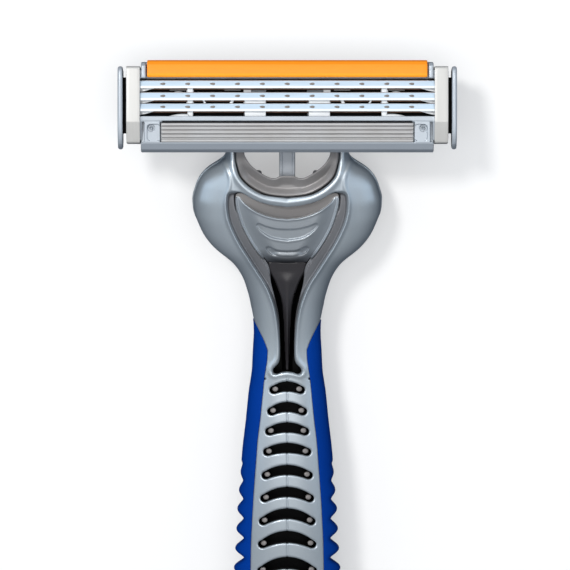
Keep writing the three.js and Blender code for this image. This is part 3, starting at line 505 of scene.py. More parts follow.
def material(name, base, rough=0.4, metallic=0.0, spread=0.06, rough_spread=0.05, scale=900.0, bump=0.02, bump_scale=9000.0,
             stretch=(1, 1, 1), tint=None, tint_scale=60.0, coat=0.0, coat_rough=0.2, sheen=0.0, ior=1.5, specular=0.5, extra=None, dist=0.00003):
    m = bpy.data.materials.new(name)
    m.use_nodes = True
    nt = m.node_tree
    b = nt.nodes["Principled BSDF"]
    b.inputs["Metallic"].default_value = metallic
    b.inputs["IOR"].default_value = ior
    b.inputs["Specular IOR Level"].default_value = specular
    b.inputs["Coat Weight"].default_value = coat
    b.inputs["Coat Roughness"].default_value = coat_rough
    b.inputs["Sheen Weight"].default_value = sheen
    tc = node(nt, "ShaderNodeTexCoord")
    mp = node(nt, "ShaderNodeMapping")
    mp.inputs["Scale"].default_value = stretch
    nt.links.new(tc.outputs["Object"], mp.inputs["Vector"])

    def noise(sc, detail=3.0):
        n = node(nt, "ShaderNodeTexNoise")
        n.inputs["Scale"].default_value = sc
        n.inputs["Detail"].default_value = detail
        nt.links.new(mp.outputs["Vector"], n.inputs["Vector"])
        return n.outputs["Fac"]

    def remap(fac, lo, hi, a=0.3, z=0.7):
        r = node(nt, "ShaderNodeMapRange")
        for k, v in (("From Min", a), ("From Max", z), ("To Min", lo), ("To Max", hi)):
            r.inputs[k].default_value = v
        nt.links.new(fac, r.inputs["Value"])
        return r.outputs["Result"]

    fine, broad = noise(scale), noise(tint_scale, 2.0)
    mix = node(nt, "ShaderNodeMix", data_type="RGBA")
    lo = [max(0.0, c * (1 - spread)) for c in base]
    hi = [min(1.0, c * (1 + spread)) for c in base]
    ab = [s for s in mix.inputs if s.type == "RGBA"]
    ab[0].default_value, ab[1].default_value = (*lo, 1), (*hi, 1)
    nt.links.new(remap(fine, 0, 1), mix.inputs["Factor"])
    colour = [s for s in mix.outputs if s.type == "RGBA"][0]
    if tint:
        m2 = node(nt, "ShaderNodeMix", data_type="RGBA")
        ab = [s for s in m2.inputs if s.type == "RGBA"]
        nt.links.new(colour, ab[0])
        ab[1].default_value = (*tint, 1)
        nt.links.new(remap(broad, 0, 0.5, 0.35, 0.75), m2.inputs["Factor"])
        colour = [s for s in m2.outputs if s.type == "RGBA"][0]
    rough_out = remap(broad, max(0.03, rough - rough_spread), rough + rough_spread)
    bp = node(nt, "ShaderNodeBump")
    bp.inputs["Strength"].default_value = bump
    bp.inputs["Distance"].default_value = dist
    nt.links.new(noise(bump_scale, 2.0), bp.inputs["Height"])
    if extra:
        colour, rough_out = extra(nt, tc, mp, colour, rough_out, bp, remap)
    nt.links.new(colour, b.inputs["Base Color"])
    nt.links.new(rough_out, b.inputs["Roughness"])
    nt.links.new(bp.outputs["Normal"], b.inputs["Normal"])
    return m


def rgb(r, g, b):
    return tuple(((c / 255 + 0.055) / 1.055) ** 2.4 if c > 10 else c / 255 / 12.92 for c in (r, g, b))


SILVER = material("silver_satin", (0.40, 0.45, 0.49), 0.36, 0.55, spread=0.05, scale=14000, bump=0.10, bump_scale=16000, tint=(0.36, 0.40, 0.45), tint_scale=90)
def shaded_foot(nt, tc, mp, colour, rough_out, bp, remap):
    """Painted shade: darkens the foot of the button, where it turns away from the light, to match the fade in the
    photo; the real moulding is probably one colour.
    """
    dot = node(nt, "ShaderNodeVectorMath", operation="DOT_PRODUCT")
    nt.links.new(tc.outputs["Object"], dot.inputs[0])
    dot.inputs[1].default_value = (0, C, -S)
    zero = (DY * C - DZ * S) / 1000
    m3 = node(nt, "ShaderNodeMix", data_type="RGBA")
    ab = [q for q in m3.inputs if q.type == "RGBA"]
    nt.links.new(colour, ab[0])
    # near-black of the painted shade mixed in towards the foot
    ab[1].default_value = (0.026, 0.026, 0.031, 1)
    nt.links.new(remap(dot.outputs["Value"], 1, 0, zero - 0.0136, zero - 0.0119), m3.inputs["Factor"])
    return [q for q in m3.outputs if q.type == "RGBA"][0], rough_out


# silver of the button; its foot gets painted shade from shaded_foot
BUTTON = material("button_satin", (0.31, 0.34, 0.37), 0.38, 0.5, spread=0.05, scale=14000, bump=0.10, bump_scale=16000, tint=(0.27, 0.295, 0.33), tint_scale=120, extra=shaded_foot)
# darker, browner copy of the button silver: painted shade on the flange tucked under the crest
BUTTON_FLANGE_SHADE = material("button_flange_painted_shade", (0.205, 0.198, 0.197), 0.38, 0.4, spread=0.05, scale=14000, bump=0.10, bump_scale=16000, tint=(0.17, 0.155, 0.15), tint_scale=140)
# darker copy of the silver: painted shade for the groove floor inside the recess
GROOVE_SHADE = material("groove_painted_shade", (0.185, 0.19, 0.205), 0.36, 0.45, spread=0.05, scale=14000, bump=0.10, bump_scale=16000, tint=(0.155, 0.155, 0.165), tint_scale=110)
YOKE = material("yoke_moulding", (0.27, 0.262, 0.265), 0.42, 0.25, spread=0.05, scale=12000, bump=0.08, bump_scale=14000, tint=(0.20, 0.185, 0.178), tint_scale=160)
STEM = material("plunger_moulding", (0.37, 0.395, 0.43), 0.4, 0.3, spread=0.05, scale=12000, bump=0.08, bump_scale=14000, tint=(0.33, 0.36, 0.40), tint_scale=160)
# black of the black mouldings, darkened further so the window wells and channel read as painted shade; also painted on
# the housing as shade
BLACK_AND_SHADE = material("black_moulding_and_painted_shade", (0.0018, 0.0018, 0.002), 0.5, 0.0, spread=0.2, scale=9000, bump=0.12, bump_scale=12000, specular=0.06)
# lighter, glossier copy of the black: its gloss is a finish, its lighter tone is painted light on the raised tongue of
# the one black core
TONGUE_LIT_TONE = material("black_core_lit_ridge_tone", (0.027, 0.025, 0.028), 0.34, 0.0, spread=0.12, scale=9000, bump=0.08, bump_scale=12000, specular=0.5, tint=(0.013, 0.013, 0.016), tint_scale=200)
RUBBER = material("blue_soft_touch", (0.0, 0.036, 0.262), 0.6, 0.0, spread=0.10, rough_spread=0.04, scale=8000, bump=0.35, bump_scale=11000,
                  tint=(0.0, 0.029, 0.225), tint_scale=70, specular=0.05)
CAP = material("butt_moulding", (0.37, 0.41, 0.45), 0.4, 0.5, spread=0.05, scale=14000, bump=0.10, bump_scale=16000)
FRAME = material("cartridge_moulding", (0.39, 0.43, 0.475), 0.38, 0.15, spread=0.05, scale=12000, bump=0.08, bump_scale=15000, tint=(0.35, 0.38, 0.42), tint_scale=200)
# darker copy of the cartridge moulding: painted shade on the lower band, which faces away from the light
FRAME_LOW_SHADE = material("cartridge_moulding_lower_painted_shade", (0.275, 0.305, 0.345), 0.36, 0.15, spread=0.05, scale=12000, bump=0.08, bump_scale=15000, tint=(0.25, 0.28, 0.32), tint_scale=200)
POST = material("post_moulding", (0.68, 0.70, 0.72), 0.35, 0.0, spread=0.03, scale=9000, bump=0.05)
PEG = material("lens_plastic", (0.215, 0.20, 0.195), 0.45, 0.0, spread=0.1, scale=9000, bump=0.05)
GUARD = material("guard_elastomer", (0.42, 0.42, 0.425), 0.5, 0.0, spread=0.06, scale=9000, bump=0.2, bump_scale=12000, tint=(0.365, 0.345, 0.33), tint_scale=300)
ORANGE = material("strip_polymer", rgb(255, 144, 28), 0.5, 0.0, spread=0.03, scale=3000, bump=0.18, bump_scale=5000, stretch=(0.15, 1, 1),
                  tint=rgb(255, 149, 38), tint_scale=500, specular=0.25)
ORANGE_EDGE = material("strip_polymer_edge", rgb(255, 158, 34), 0.5, 0.0, spread=0.03, scale=3000, bump=0.18, bump_scale=5000, stretch=(0.15, 1, 1), specular=0.25)
CLIP = material("clip_aluminium", (0.50, 0.495, 0.48), 0.46, 0.2, spread=0.03, scale=2500, bump=0.12, bump_scale=6000, stretch=(1, 0.08, 0.08), tint=(0.475, 0.468, 0.452), tint_scale=700)
STEEL = material("blade_steel", (0.50, 0.595, 0.68), 0.34, 0.45, spread=0.04, scale=4000, bump=0.06, bump_scale=7000, stretch=(0.04, 1, 1), tint=(0.44, 0.545, 0.65), tint_scale=900)
# lighter copy of the blade steel on the ground bevel: partly the bevel's own finish, partly a painted glint
BEVEL_GLINT = material("ground_edge_painted_glint", (0.76, 0.80, 0.84), 0.34, 0.35, spread=0.02, scale=6000, bump=0.05, bump_scale=9000, stretch=(1, 0.05, 0.05))
SUPPORT = material("support_steel", (0.42, 0.36, 0.33), 0.34, 1.0, spread=0.06, scale=3500, bump=0.10, stretch=(0.05, 1, 1), tint=(0.30, 0.17, 0.11), tint_scale=300)
NUGGET = material("weld_nugget", (0.20, 0.18, 0.17), 0.42, 0.5, spread=0.25, scale=9000, bump=0.2, tint=(0.20, 0.17, 0.14), tint_scale=2500)
SPRING = material("spring_wire", (0.55, 0.56, 0.58), 0.25, 1.0, spread=0.05, scale=6000, bump=0.1)
CAVITY_SHADOW = material("cavity_shadow_line", (0.115, 0.045, 0.018), 0.45, 0.2, spread=0.25, scale=4000, bump=0.1, tint=(0.03, 0.012, 0.006), tint_scale=600)


# ------------------------------------------------------------------ pieces of the handle
def butt_limit(P):
    return -113.85 - P[1]


def f_front(P):
    X, Y, Z = P
    v, x = face_v(P), np.abs(X)
    drop = drop2(x, v) * ((v > -29) & (v < 5))
    outer = env(P) + drop
    thin = 0.42 * ease((7.6 - x) / 0.8) * ease((v + 7.4) / 0.8) * ease((-3.0 - v) / 0.8)
    inner = env(P, WALL) + np.maximum(drop, 0) - thin
    d = smax(outer, -inner, 0.12)
    head = v > -29
    under_pad = 0.42 * ease((-7.0 - v) / 0.9) * ease((v + 17.0) / 3.6)
    d = np.where(head, smax(d, -(hole2(x, v) + under_pad), 0.20), d)
    d = np.where(head, smax(d, -pocket2(x, v), 0.30), d)
    d = np.where(v < -27, smax(d, -win2(x, v), 0.24), d)
    seam = 0.07 * np.exp(-(x / 0.10) ** 2) * (v < -27.9) * (v > -79)
    d = smax(d + seam, spine2(x, v) - 0.02, 0.16)
    notch = np.hypot((x - 2.80), (v + 28.35) * 1.2) - 0.11
    d = smax(d, -np.where((v < -26) & (v > -31), notch, 9.0), 0.15)
    d = smax(d, v - 0.35, 0.30)
    d = smax(d, butt_limit(P), 0.2)
    return smax(d, mid_z(Y) + 0.025 - Z, 0.07)


def f_back(P):
    X, Y, Z = P
    v, x = face_v(P), np.abs(X)
    d = smax(env(P), -env(P, WALL), 0.12)
    d = np.where(v > -29, smax(d, -see2(x, v), 0.4), d)
    d = smax(d, spine2(x, v), 0.32)
    d = smax(d, v - 0.35, 0.30)
    d = smax(d, butt_limit(P), 0.2)
    # pocket of the ribbed pad, and a shallow oval sink in the heel
    d = smax(d, -pad_outline(X, Y, 0.15), 0.2)
    heel = np.hypot(X / 5.4, (Y + 9.6) / 3.3) - 1
    d = np.where(Z < mid_z(Y) - 2, d + 0.28 * ease(-heel / 0.28), d)
    d = smax(d, Z - mid_z(Y) + 0.025, 0.07)
    return smax(d, -12.45 - Z, 0.1)


def pad_outline(X, Y, grow):
    qx, qy = np.abs(X) - (2.8 + grow - 1.2), np.abs(Y + 74.0) - (26.2 + grow - 1.2)
    return np.hypot(np.maximum(qx, 0), np.maximum(qy, 0)) + np.minimum(np.maximum(qx, qy), 0) - 1.2


def f_pad(P):
    X, Y, Z = P
    e = env(P)
    chevron = Y + 0.32 * np.abs(X)
    rib = 0.5 + 0.5 * np.cos(2 * np.pi * (chevron + 52) / 2.5)
    edge = ease(-pad_outline(X, Y, -0.25) / 0.5)
    d = e + 0.12 + 0.42 * (1 - rib ** 0.6) * edge
    d = smax(d, pad_outline(X, Y, -0.02), 0.35)
    d = smax(d, -(e + 1.15), 0.1)
    d = smax(d, Z + 8.0, 0.1)
    return smax(d, -12.44 - Z, 0.08)


def core_field(P, off=0.0):
    Y = P[1]
    z = np.zeros_like(Y)
    return section(P, CORE_A(Y) - off, FRONT(Y) - 1.3 - off, BACK(Y) + 1.3 + off, 2.8, 2.8, CORE_A.slope(Y), FRONT.slope(Y), BACK.slope(Y))


RIDGE = Curve([(-13.0, 2.5), (-14.4, 2.25), (-15.8, 1.5), (-17.0, 1.02), (-18.3, 0.6), (-20.0, 0.38), (-22.0, 0.26), (-25.0, 0.14), (-26.4, 0.05)], 1, 0.4)


def f_core(P):
    X, Y, Z = P
    v, x = face_v(P), np.abs(X)
    d = core_field(P)
    front = Z > mid_z(Y)
    t = x - RIDGE(v)
    channel = 1.25 * ease((t + 0.10) / 0.75) * ease((v + 28.6) / 0.8) * (x < 3.5)
    crown = -0.30 * (1 - ease(x / np.maximum(RIDGE(v), 0.2))) * ease((v + 27) / 3) * ease((-14.6 - v) / 1.6)
    wells = 1.0 * ease((0.35 - win2(x, v)) / 0.35) * (v < -27.8) * (v > -79)
    d = d + np.where(front, channel + crown + wells, 0)
    bore = np.maximum(np.hypot(X, Z - PLUNGER_Z) - 1.25, -20.9 - Y)
    bore2 = np.maximum(np.hypot(X, Z + 9.3) - 1.0, -19.7 - Y)
    d = smax(d, -np.minimum(bore, bore2), 0.1)
    d = smax(d, np.where(front, Y + 16.28, Y + 16.85), 0.08)
    return smax(d, -118.8 - Y, 0.3)


def f_grip(P):
    X, Y, Z = P
    v, x = face_v(P), np.abs(X)
    lean = Y - (Z - mid_z(Y)) * (S / C)
    a, da = np.interp(lean, SC_Y, SC_A), np.interp(lean, SC_Y, SC_D)
    side = (x - a) / np.sqrt(1 + da * da)
    d = smax(env(P) - 0.0, side, 0.55)
    d = smax(d, -spine2(x, v), 0.07)
    d = smax(d, -core_field(P) + 0.12, 0.1)
    d = smax(d, -113.6 - Y, 0.35)
    d = smax(d, Y + 15.0, 0.2)
    return smax(d, -12.44 - Z, 0.08)


def f_cap(P):
    X, Y, Z = P
    e = env(P)
    room = smax(core_field(P), -118.9 - Y, 0.3)
    d = smax(e, -room + 0.1, 0.1)
    d = smax(d, Y + 114.0, 0.3)
    d = smax(d, -127.45 - Y, 1.2)
    # hanging eye right through, and a parting groove
    eye = np.hypot(X / 1.15, (Y + 122.6)) - 1.25
    d = smax(d, -eye, 0.6)
    d = d + 0.10 * np.exp(-((Z - mid_z(Y)) / 0.09) ** 2)
    return smax(d, -12.44 - Z, 0.08)


def f_button(P):
    X, Y, Z = P
    v, x = face_v(P), np.abs(X)
    e = env(P)
    pad = smax(e + pad_drop2(x, v), pad2(x, v), 0.24)
    # the pad laps over the groove floor; below that it runs down through the opening
    pad = smax(pad, np.minimum(-(e + 1.11), hole2(x, v) + 0.50), 0.04)
    flange = smax(smax(e + 1.04, np.minimum(flange2d(x, v), np.maximum(hole2(x, v) + 0.04, v + 6.68)), 0.06), -9.2 - v, 0.1)
    d = smin(pad, flange, 0.08)
    d = smax(d, -(e + 2.25), 0.15)
    # channel under the button, so that the plunger and its round tail pass clear of it
    run = np.minimum(np.hypot(X, Z - PLUNGER_Z) - 1.14, np.maximum(np.abs(X) - 1.1, np.abs(Z - PLUNGER_Z) - 0.9))
    d = smax(d, -run, 0.06)
    return smax(smax(d, -16.22 - Y, 0.06), Y + 4.4, 0.1)


def f_pegs(P):
    X, Y, Z = P
    v, x = face_v(P), np.abs(X)
    d = np.full(X.shape, 9.0)
    for top, bottom, hx, end in WINDOWS:
        m = (v < end + 2) & (v > end - 1.5)
        if m.any():
            mid = (top + bottom) / 2
            px, pv = hx - 0.72, mid + (end + 0.45 - mid) * ((hx - 0.72) / (hx - 0.5)) ** 2
            q = np.hypot((x[m] - px) / 1.1, (v[m] - pv) / 0.95)
            d[m] = np.minimum(d[m], q - 0.34)
    e = env(P)
    return smax(smax(d, e + 0.72, 0.22), -(e + 2.6), 0.1)


# yoke
YOKE_OUT = mirror(np.vstack([spline([(0, -5.45), (1.5, -5.33), (2.87, -5.04), (4.5, -4.18), (5.76, -2.98), (6.24, -1.35), (6.34, 0.25)], 4), [(5.45, 0.25)],
                             spline([(5.42, -0.15), (4.6, -1.42), (3.40, -2.38), (2.3, -2.98), (1.62, -3.1), (1.15, -2.95), (0.9, -2.82)], 6), [(0, -2.8)]]))
yoke2 = Map(0, 8, -7, 2, 0.04, lambda x, v: polygon_distance(x, v, YOKE_OUT))
YOKE_TOP = Curve([(2, -3.85), (0.2, -3.95), (-3.0, -4.15), (-5.4, -4.7), (-7.6, -4.55), (-9.5, -4.5)], 1, 0.4)


def box_d(P, x0, x1, y0, y1, z0, z1, r=0.1):
    X, Y, Z = P
    qx, qy, qz = np.abs(X - (x0 + x1) / 2) - (x1 - x0) / 2 + r, np.abs(Y - (y0 + y1) / 2) - (y1 - y0) / 2 + r, np.abs(Z - (z0 + z1) / 2) - (z1 - z0) / 2 + r
    return np.sqrt(np.maximum(qx, 0) ** 2 + np.maximum(qy, 0) ** 2 + np.maximum(qz, 0) ** 2) + np.minimum(np.maximum(np.maximum(qx, qy), qz), 0) - r


def capsule_yz(Y, Z, y0, z0, y1, z1, r):
    ey, ez = y1 - y0, z1 - z0
    t = np.clip(((Y - y0) * ey + (Z - z0) * ez) / (ey * ey + ez * ez), 0, 1)
    return np.hypot(Y - y0 - t * ey, Z - z0 - t * ez) - r


def f_yoke(P):
    X, Y, Z = P
    v, x = face_v(P), np.abs(X)
    y2 = yoke2(x, v)
    inside = -y2
    dish = 0.62 * ease((inside - 0.22) / 0.95) * ease((-0.6 - v) / 1.5)
    rim = -0.06 * np.exp(-((inside - 0.16) / 0.13) ** 2)
    top = Z - YOKE_TOP(Y) + dish + rim
    floor = np.where(Y > -4.5, -7.7 + (Y + 4.5) * 0.55, -7.7)
    body = smax(smax(top, y2, 0.22), (floor - Z) * 0.87, 0.3)
    body = smax(body, Y + 0.4 - 0.9 * (x > 5.2), 0.2)
    arm = smax(capsule_yz(Y, Z, PIVOT_Y, PIVOT_Z, -2.1, -5.15, 0.88), np.abs(x - 5.88) - 0.42, 0.25)
    pin = smax(np.hypot(Y - PIVOT_Y, Z - PIVOT_Z) - 0.62, np.abs(x - 6.9) - 0.78, 0.2)
    leg = box_d((x, Y, Z), 3.2, 4.6, -11.0, -4.8, -7.45, -6.1, 0.3)
    d = smin(smin(body, arm, 0.35), smin(pin, leg, 0.1), 0.12)
    slot = smax(x - 1.13, Z - (PLUNGER_Z + 0.9), 0.1)
    return smax(d, -slot, 0.15)


def f_plunger(P):
    X, Y, Z = P
    tip = PIVOT_Y - 1.0
    stem = box_d(P, -1.0, 1.0, -13.2, tip, PLUNGER_Z - 0.78, PLUNGER_Z + 0.78, 0.22)
    # raised rails along both edges of the front and a rounded contact tip
    stem = stem + 0.14 * ease((0.74 - np.abs(X)) / 0.22) * (Z > PLUNGER_Z) * ease((tip - 0.6 - Y) / 0.5)
    tail = smax(np.hypot(X, Z - PLUNGER_Z) - 1.0, np.abs(Y + 13.4) - 0.6, 0.2)
    return smin(stem, tail, 0.1)


# ------------------------------------------------------------------ cartridge housing, face frame
HOUSE = [(0.04, -2.9), (0.0, -1.62), (0.34, -1.0), (1.24, -0.5), (1.24, -1.2), (3.72, -1.2), (3.72, -0.30), (3.86, -0.16), (4.42, -0.12),
         (9.15, -0.25), (9.15, -1.4), (11.1, -1.4), (11.25, -2.3), (10.2, -4.2), (1.6, -4.2), (0.7, -3.4)]


def profile_map(poly, v0=-1.5, v1=13, w0=-8, w1=2, h=0.05):
    poly = np.array(poly, float)
    return Map(v0, v1, w0, w1, h, lambda a, b: polygon_distance(a, b, poly))


house2 = profile_map(HOUSE)
corner2 = profile_map([(1.2, -1.6), (1.2, -0.52), (2.4, -0.34), (3.75, -0.22), (3.75, -1.6)])
post2 = profile_map([(9.1, -1.6), (9.1, 0.0), (9.3, 0.12), (10.7, 0.02), (11.07, -0.4), (11.07, -1.6)])
block2 = profile_map([(1.5, -3.9), (1.5, -1.05), (3.8, -0.1), (10.15, -0.1), (10.15, -4.1), (2.0, -4.1)])
neck2 = profile_map([(2.4, -3.4), (2.4, -1.3), (9.3, -1.3), (9.3, -3.4)])
flange2 = profile_map(np.vstack([spline([(0.37, -1.9), (0.9, -0.95), (1.9, -0.1), (3.6, 0.32), (6.5, 0.38), (9.6, 0.35), (10.45, -0.05), (10.64, -0.85), (10.3, -3.3)], 4),
                                 [(10.0, -3.4), (1.2, -3.4), (0.5, -2.7)]]))
bearing2 = profile_map([(3.5, -1.8), (3.5, -6), (-0.6, -6), (-0.6, -2.45), (0.8, -2.2), (1.0, -1.8)])
cam = []
for deg in range(-4, 45, 3):
    p = math.radians(deg)
    s = 0.8 + 3.1 * p
    y, z = -s * math.cos(p) + 3.1 * math.sin(p) + PIVOT_Y, -s * math.sin(p) - 3.1 * math.cos(p) + PIVOT_Z
    cam.append((y * C - z * S, y * S + z * C))
cam2 = profile_map([*cam, (cam[-1][0] + 0.9, cam[-1][1] - 0.15), (cam[-1][0] + 2.2, -5.2), (cam[-1][0] + 3.2, -4.0), (cam[0][0], -4.0)], -3)


def slab(field, x, x0, x1, k):
    return smax(field, np.abs(x - (x0 + x1) / 2) - (x1 - x0) / 2, k)


def f_housing(P):
    X, V, W = P
    x = np.abs(X)
    h2 = house2(V, W)
    # soft parting step along the lower band and a rounded nose
    d = slab(h2, x, -18.15, 18.15, 0.18)
    d = smin(d, slab(corner2(V, W), x, 15.75, 17.72, 0.16), 0.06)
    d = smin(d, slab(post2(V, W), x, 17.5, 18.1, 0.2), 0.05)
    d = smin(d, slab(block2(V, W), x, 18.0, 19.95, 0.12), 0.05)
    d = smin(d, slab(neck2(V, W), x, 19.9, 20.45, 0.08), 0.05)
    d = smin(d, slab(flange2(V, W), x, 20.36, 21.0, 0.34), 0.05)
    rise = -0.52 + 0.118 * (V - 1.2)
    qx, qv = np.abs(x - 16.55) - 0.80 + 0.42, np.abs(V - 2.42) - 1.02 + 0.42
    panel = np.hypot(np.maximum(qx, 0), np.maximum(qv, 0)) + np.minimum(np.maximum(qx, qv), 0) - 0.42
    near = (x > 15.0) & (V > 0.8) & (V < 4.2)
    d = np.where(near, smax(d, -np.maximum(panel, rise - 0.10 - W), 0.07), d)
    pin = np.hypot(x - 16.85, V - 2.97)
    d = np.where(near, smax(d, -np.maximum(np.abs(pin - 0.34) - 0.11, rise - 0.42 - W), 0.05), d)
    d = np.where(near, smax(d, -np.maximum(pin - 0.10, rise - 0.22 - W), 0.05), d)
    d = smax(d, -box_d((x, V, W), -19.3, 19.3, 4.45, 9.12, -2.9, 3.0, 0.12), 0.12)
    # parting groove between the ledge and the guard
    d = np.where((V > 3.3) & (V < 4.2), smax(d, -box_d((x, V, W), -15.5, 15.5, 3.63, 3.87, -1.0, 3.0, 0.04), 0.05), d)
    for cx in (13.6, 6.8):
        d = smax(d, -box_d((x - cx, V, W), -2.3, 2.3, 5.0, 8.6, -6, -2.6, 0.5), 0.16)
    d = smax(d, -slab(bearing2(V, W), x, 5.0, 6.9, 0.1), 0.1)
    hole = smax(np.hypot(V - 2.2, W + 3.0) - 0.8, np.abs(x - 7.2) - 0.72, 0.05)
    d = smax(d, -hole, 0.08)
    return smin(d, slab(cam2(V, W), x, -1.5, 1.5, 0.12), 0.15)


# ------------------------------------------------------------------ straight pieces across the cartridge
def fillet(pts, r, n=5):
    pts = [np.array(p, float) for p in pts]
    out = [pts[0]]
    for a, b, c in zip(pts, pts[1:], pts[2:]):
        u, v = (a - b) / np.linalg.norm(a - b), (c - b) / np.linalg.norm(c - b)
        ang = math.acos(float(np.clip(u @ v, -1, 1)))
        if ang > math.pi - 0.05:
            out.append(b)
            continue
        d = min(r / math.tan(ang / 2), 0.45 * np.linalg.norm(a - b), 0.45 * np.linalg.norm(c - b))
        p, q = b + u * d, b + v * d
        for i in range(n + 1):
            t = i / n
            out.append((1 - t) ** 2 * p + 2 * t * (1 - t) * b + t * t * q)
    out.append(pts[-1])
    return np.array(out)


def thicken(line, t):
    line = np.asarray(line, float)
    d = np.gradient(line, axis=0)
    d /= np.linalg.norm(d, axis=1)[:, None]
    nrm = np.stack([-d[:, 1], d[:, 0]], -1)
    return np.vstack([line + nrm * t / 2, (line - nrm * t / 2)[::-1]])


def closed_fillet(pts, r, n=4):
    pts = [np.array(p, float) for p in pts]
    out = []
    k = len(pts)
    for i in range(k):
        a, b, c = pts[i - 1], pts[i], pts[(i + 1) % k]
        u, v = (a - b) / np.linalg.norm(a - b), (c - b) / np.linalg.norm(c - b)
        ang = math.acos(float(np.clip(u @ v, -1, 1)))
        if ang > math.pi - 0.08:
            out.append(b)
            continue
        d = min(r / math.tan(ang / 2), 0.45 * np.linalg.norm(a - b), 0.45 * np.linalg.norm(c - b))
        p, q = b + u * d, b + v * d
        for j in range(n + 1):
            t = j / n
            out.append((1 - t) ** 2 * p + 2 * t * (1 - t) * b + t * t * q)
    return np.array(out)


def prism(name, prof, x0, x1, mats, end=0.05, cuts=24, which=None, wave=None):
    """Profile (v, w) swept along x with softened ends; which(i) gives a profile edge's material."""
    prof = np.asarray(prof, float)
    nxt = np.roll(prof, -1, 0)
    area = (prof[:, 0] * nxt[:, 1] - nxt[:, 0] * prof[:, 1]).sum() / 2
    if area < 0:
        prof = prof[::-1]
    n = len(prof)
    e = np.roll(prof, -1, 0) - np.roll(prof, 1, 0)
    e /= np.maximum(np.linalg.norm(e, axis=1), 1e-9)[:, None]
    inward = np.stack([-e[:, 1], e[:, 0]], -1)
    xs, ins = [], []
    for k in range(4):
        a = k / 3 * math.pi / 2
        xs.append(x0 + end * (1 - math.sin(a)))
        ins.append(end * (1 - math.cos(a)) * 0.9)
    xs, ins = xs[::-1], ins[::-1]
    xs[0], ins[0] = x0, end * 0.9
    mid = list(np.linspace(x0 + end, x1 - end, cuts + 1))
    left = sorted(zip([x0 + end * (1 - math.sin(k / 3 * math.pi / 2)) for k in range(4)], [end * 0.9 * (1 - math.cos(k / 3 * math.pi / 2)) for k in range(4)]))
    stations = [(x0, end * 0.9), (x0 + end * 0.13, end * 0.45), (x0 + end * 0.5, end * 0.12)] + [(x, 0.0) for x in mid] + \
               [(x1 - end * 0.5, end * 0.12), (x1 - end * 0.13, end * 0.45), (x1, end * 0.9)]
    verts = []
    for x, i in stations:
        ring = prof + inward * i
        for v, w in ring:
            verts.append((x, v, w) if wave is None else wave(x, v, w))
    faces, idx = [], []
    m = len(stations)
    for s in range(m - 1):
        for i in range(n):
            j = (i + 1) % n
            faces.append((s * n + i, s * n + j, (s + 1) * n + j, (s + 1) * n + i))
            idx.append(which(prof[i], prof[j]) if which else 0)
    me = bpy.data.meshes.new(name)
    caps = [tuple(range(n))[::-1], tuple((m - 1) * n + i for i in range(n))]
    me.from_pydata([tuple(p) for p in face_to_row(np.array(verts))], [], faces + caps)
    me.polygons.foreach_set("material_index", idx + [0, 0])
    bm = bmesh.new()
    bm.from_mesh(me)
    bmesh.ops.recalc_face_normals(bm, faces=bm.faces)
    bmesh.ops.triangulate(bm, faces=[f for f in bm.faces if len(f.verts) > 4])
    bm.to_mesh(me)
    bm.free()
    for mt in (mats if isinstance(mats, (list, tuple)) else [mats]):
        me.materials.append(mt)
    me.polygons.foreach_set("use_smooth", np.full(len(me.polygons), True))
    me.set_sharp_from_angle(angle=math.radians(32))
    ob = bpy.data.objects.new(name, me)
    bpy.context.scene.collection.objects.link(ob)
    return ob


def join(name, obs):
    bm = bmesh.new()
    mats = []
    for o in obs:
        start = len(bm.faces)
        bm.from_mesh(o.data)
        bm.faces.ensure_lookup_table()
        remap = []
        for mt in o.data.materials:
            if mt not in mats:
                mats.append(mt)
            remap.append(mats.index(mt))
        for f in bm.faces[start:]:
            f.material_index = remap[f.material_index] if remap else 0
    me = bpy.data.meshes.new(name)
    bm.to_mesh(me)
    bm.free()
    for mt in mats:
        me.materials.append(mt)
    for o in obs:
        bpy.data.objects.remove(o)
    ob = bpy.data.objects.new(name, me)
    bpy.context.scene.collection.objects.link(ob)
    return ob


def block(name, x0, x1, v0, v1, w0, w1, mat, r=0.06, slant=0.0):
    """Rounded bar; slant leans its ends over along v."""
    prof = closed_fillet([(v0, w0), (v1, w0), (v1, w1), (v0, w1)], r, 3)
    vm = (v0 + v1) / 2
    wave = (lambda x, v, w: (x + slant * (v - vm), v, w)) if slant else None
    return prism(name, prof, x0, x1, mat, end=min(r, 0.3 * (x1 - x0)), cuts=2, wave=wave)


def coil(name, r, wire, y0, y1, turns, z, mat):
    n, k = int(turns * 28), 10
    verts, faces = [], []
    for i in range(n + 1):
        t = i / n
        a = t * turns * 2 * math.pi
        # end turns a little closer together
        yy = y0 + (y1 - y0) * (0.5 - 0.5 * math.cos(math.pi * t)) * 0.25 + (y1 - y0) * t * 0.75
        c = np.array([r * math.cos(a), yy, z + r * math.sin(a)])
        radial, along = np.array([math.cos(a), 0, math.sin(a)]), np.array([0, 1.0, 0])
        for j in range(k):
            b = j / k * 2 * math.pi
            verts.append(c + wire * (radial * math.cos(b) + along * math.sin(b)))
    for i in range(n):
        for j in range(k):
            faces.append((i * k + j, i * k + (j + 1) % k, (i + 1) * k + (j + 1) % k, (i + 1) * k + j))
    me = bpy.data.meshes.new(name)
    me.from_pydata([tuple(p) for p in handle_to_row(np.array(verts))], [], faces + [tuple(range(k))[::-1], tuple(n * k + j for j in range(k))])
    bm = bmesh.new()
    bm.from_mesh(me)
    bmesh.ops.recalc_face_normals(bm, faces=bm.faces)
    bm.to_mesh(me)
    bm.free()
    me.polygons.foreach_set("use_smooth", np.full(len(me.polygons), True))
    me.set_sharp_from_angle(angle=math.radians(50))
    me.materials.append(mat)
    ob = bpy.data.objects.new(name, me)
    bpy.context.scene.collection.objects.link(ob)
    return ob


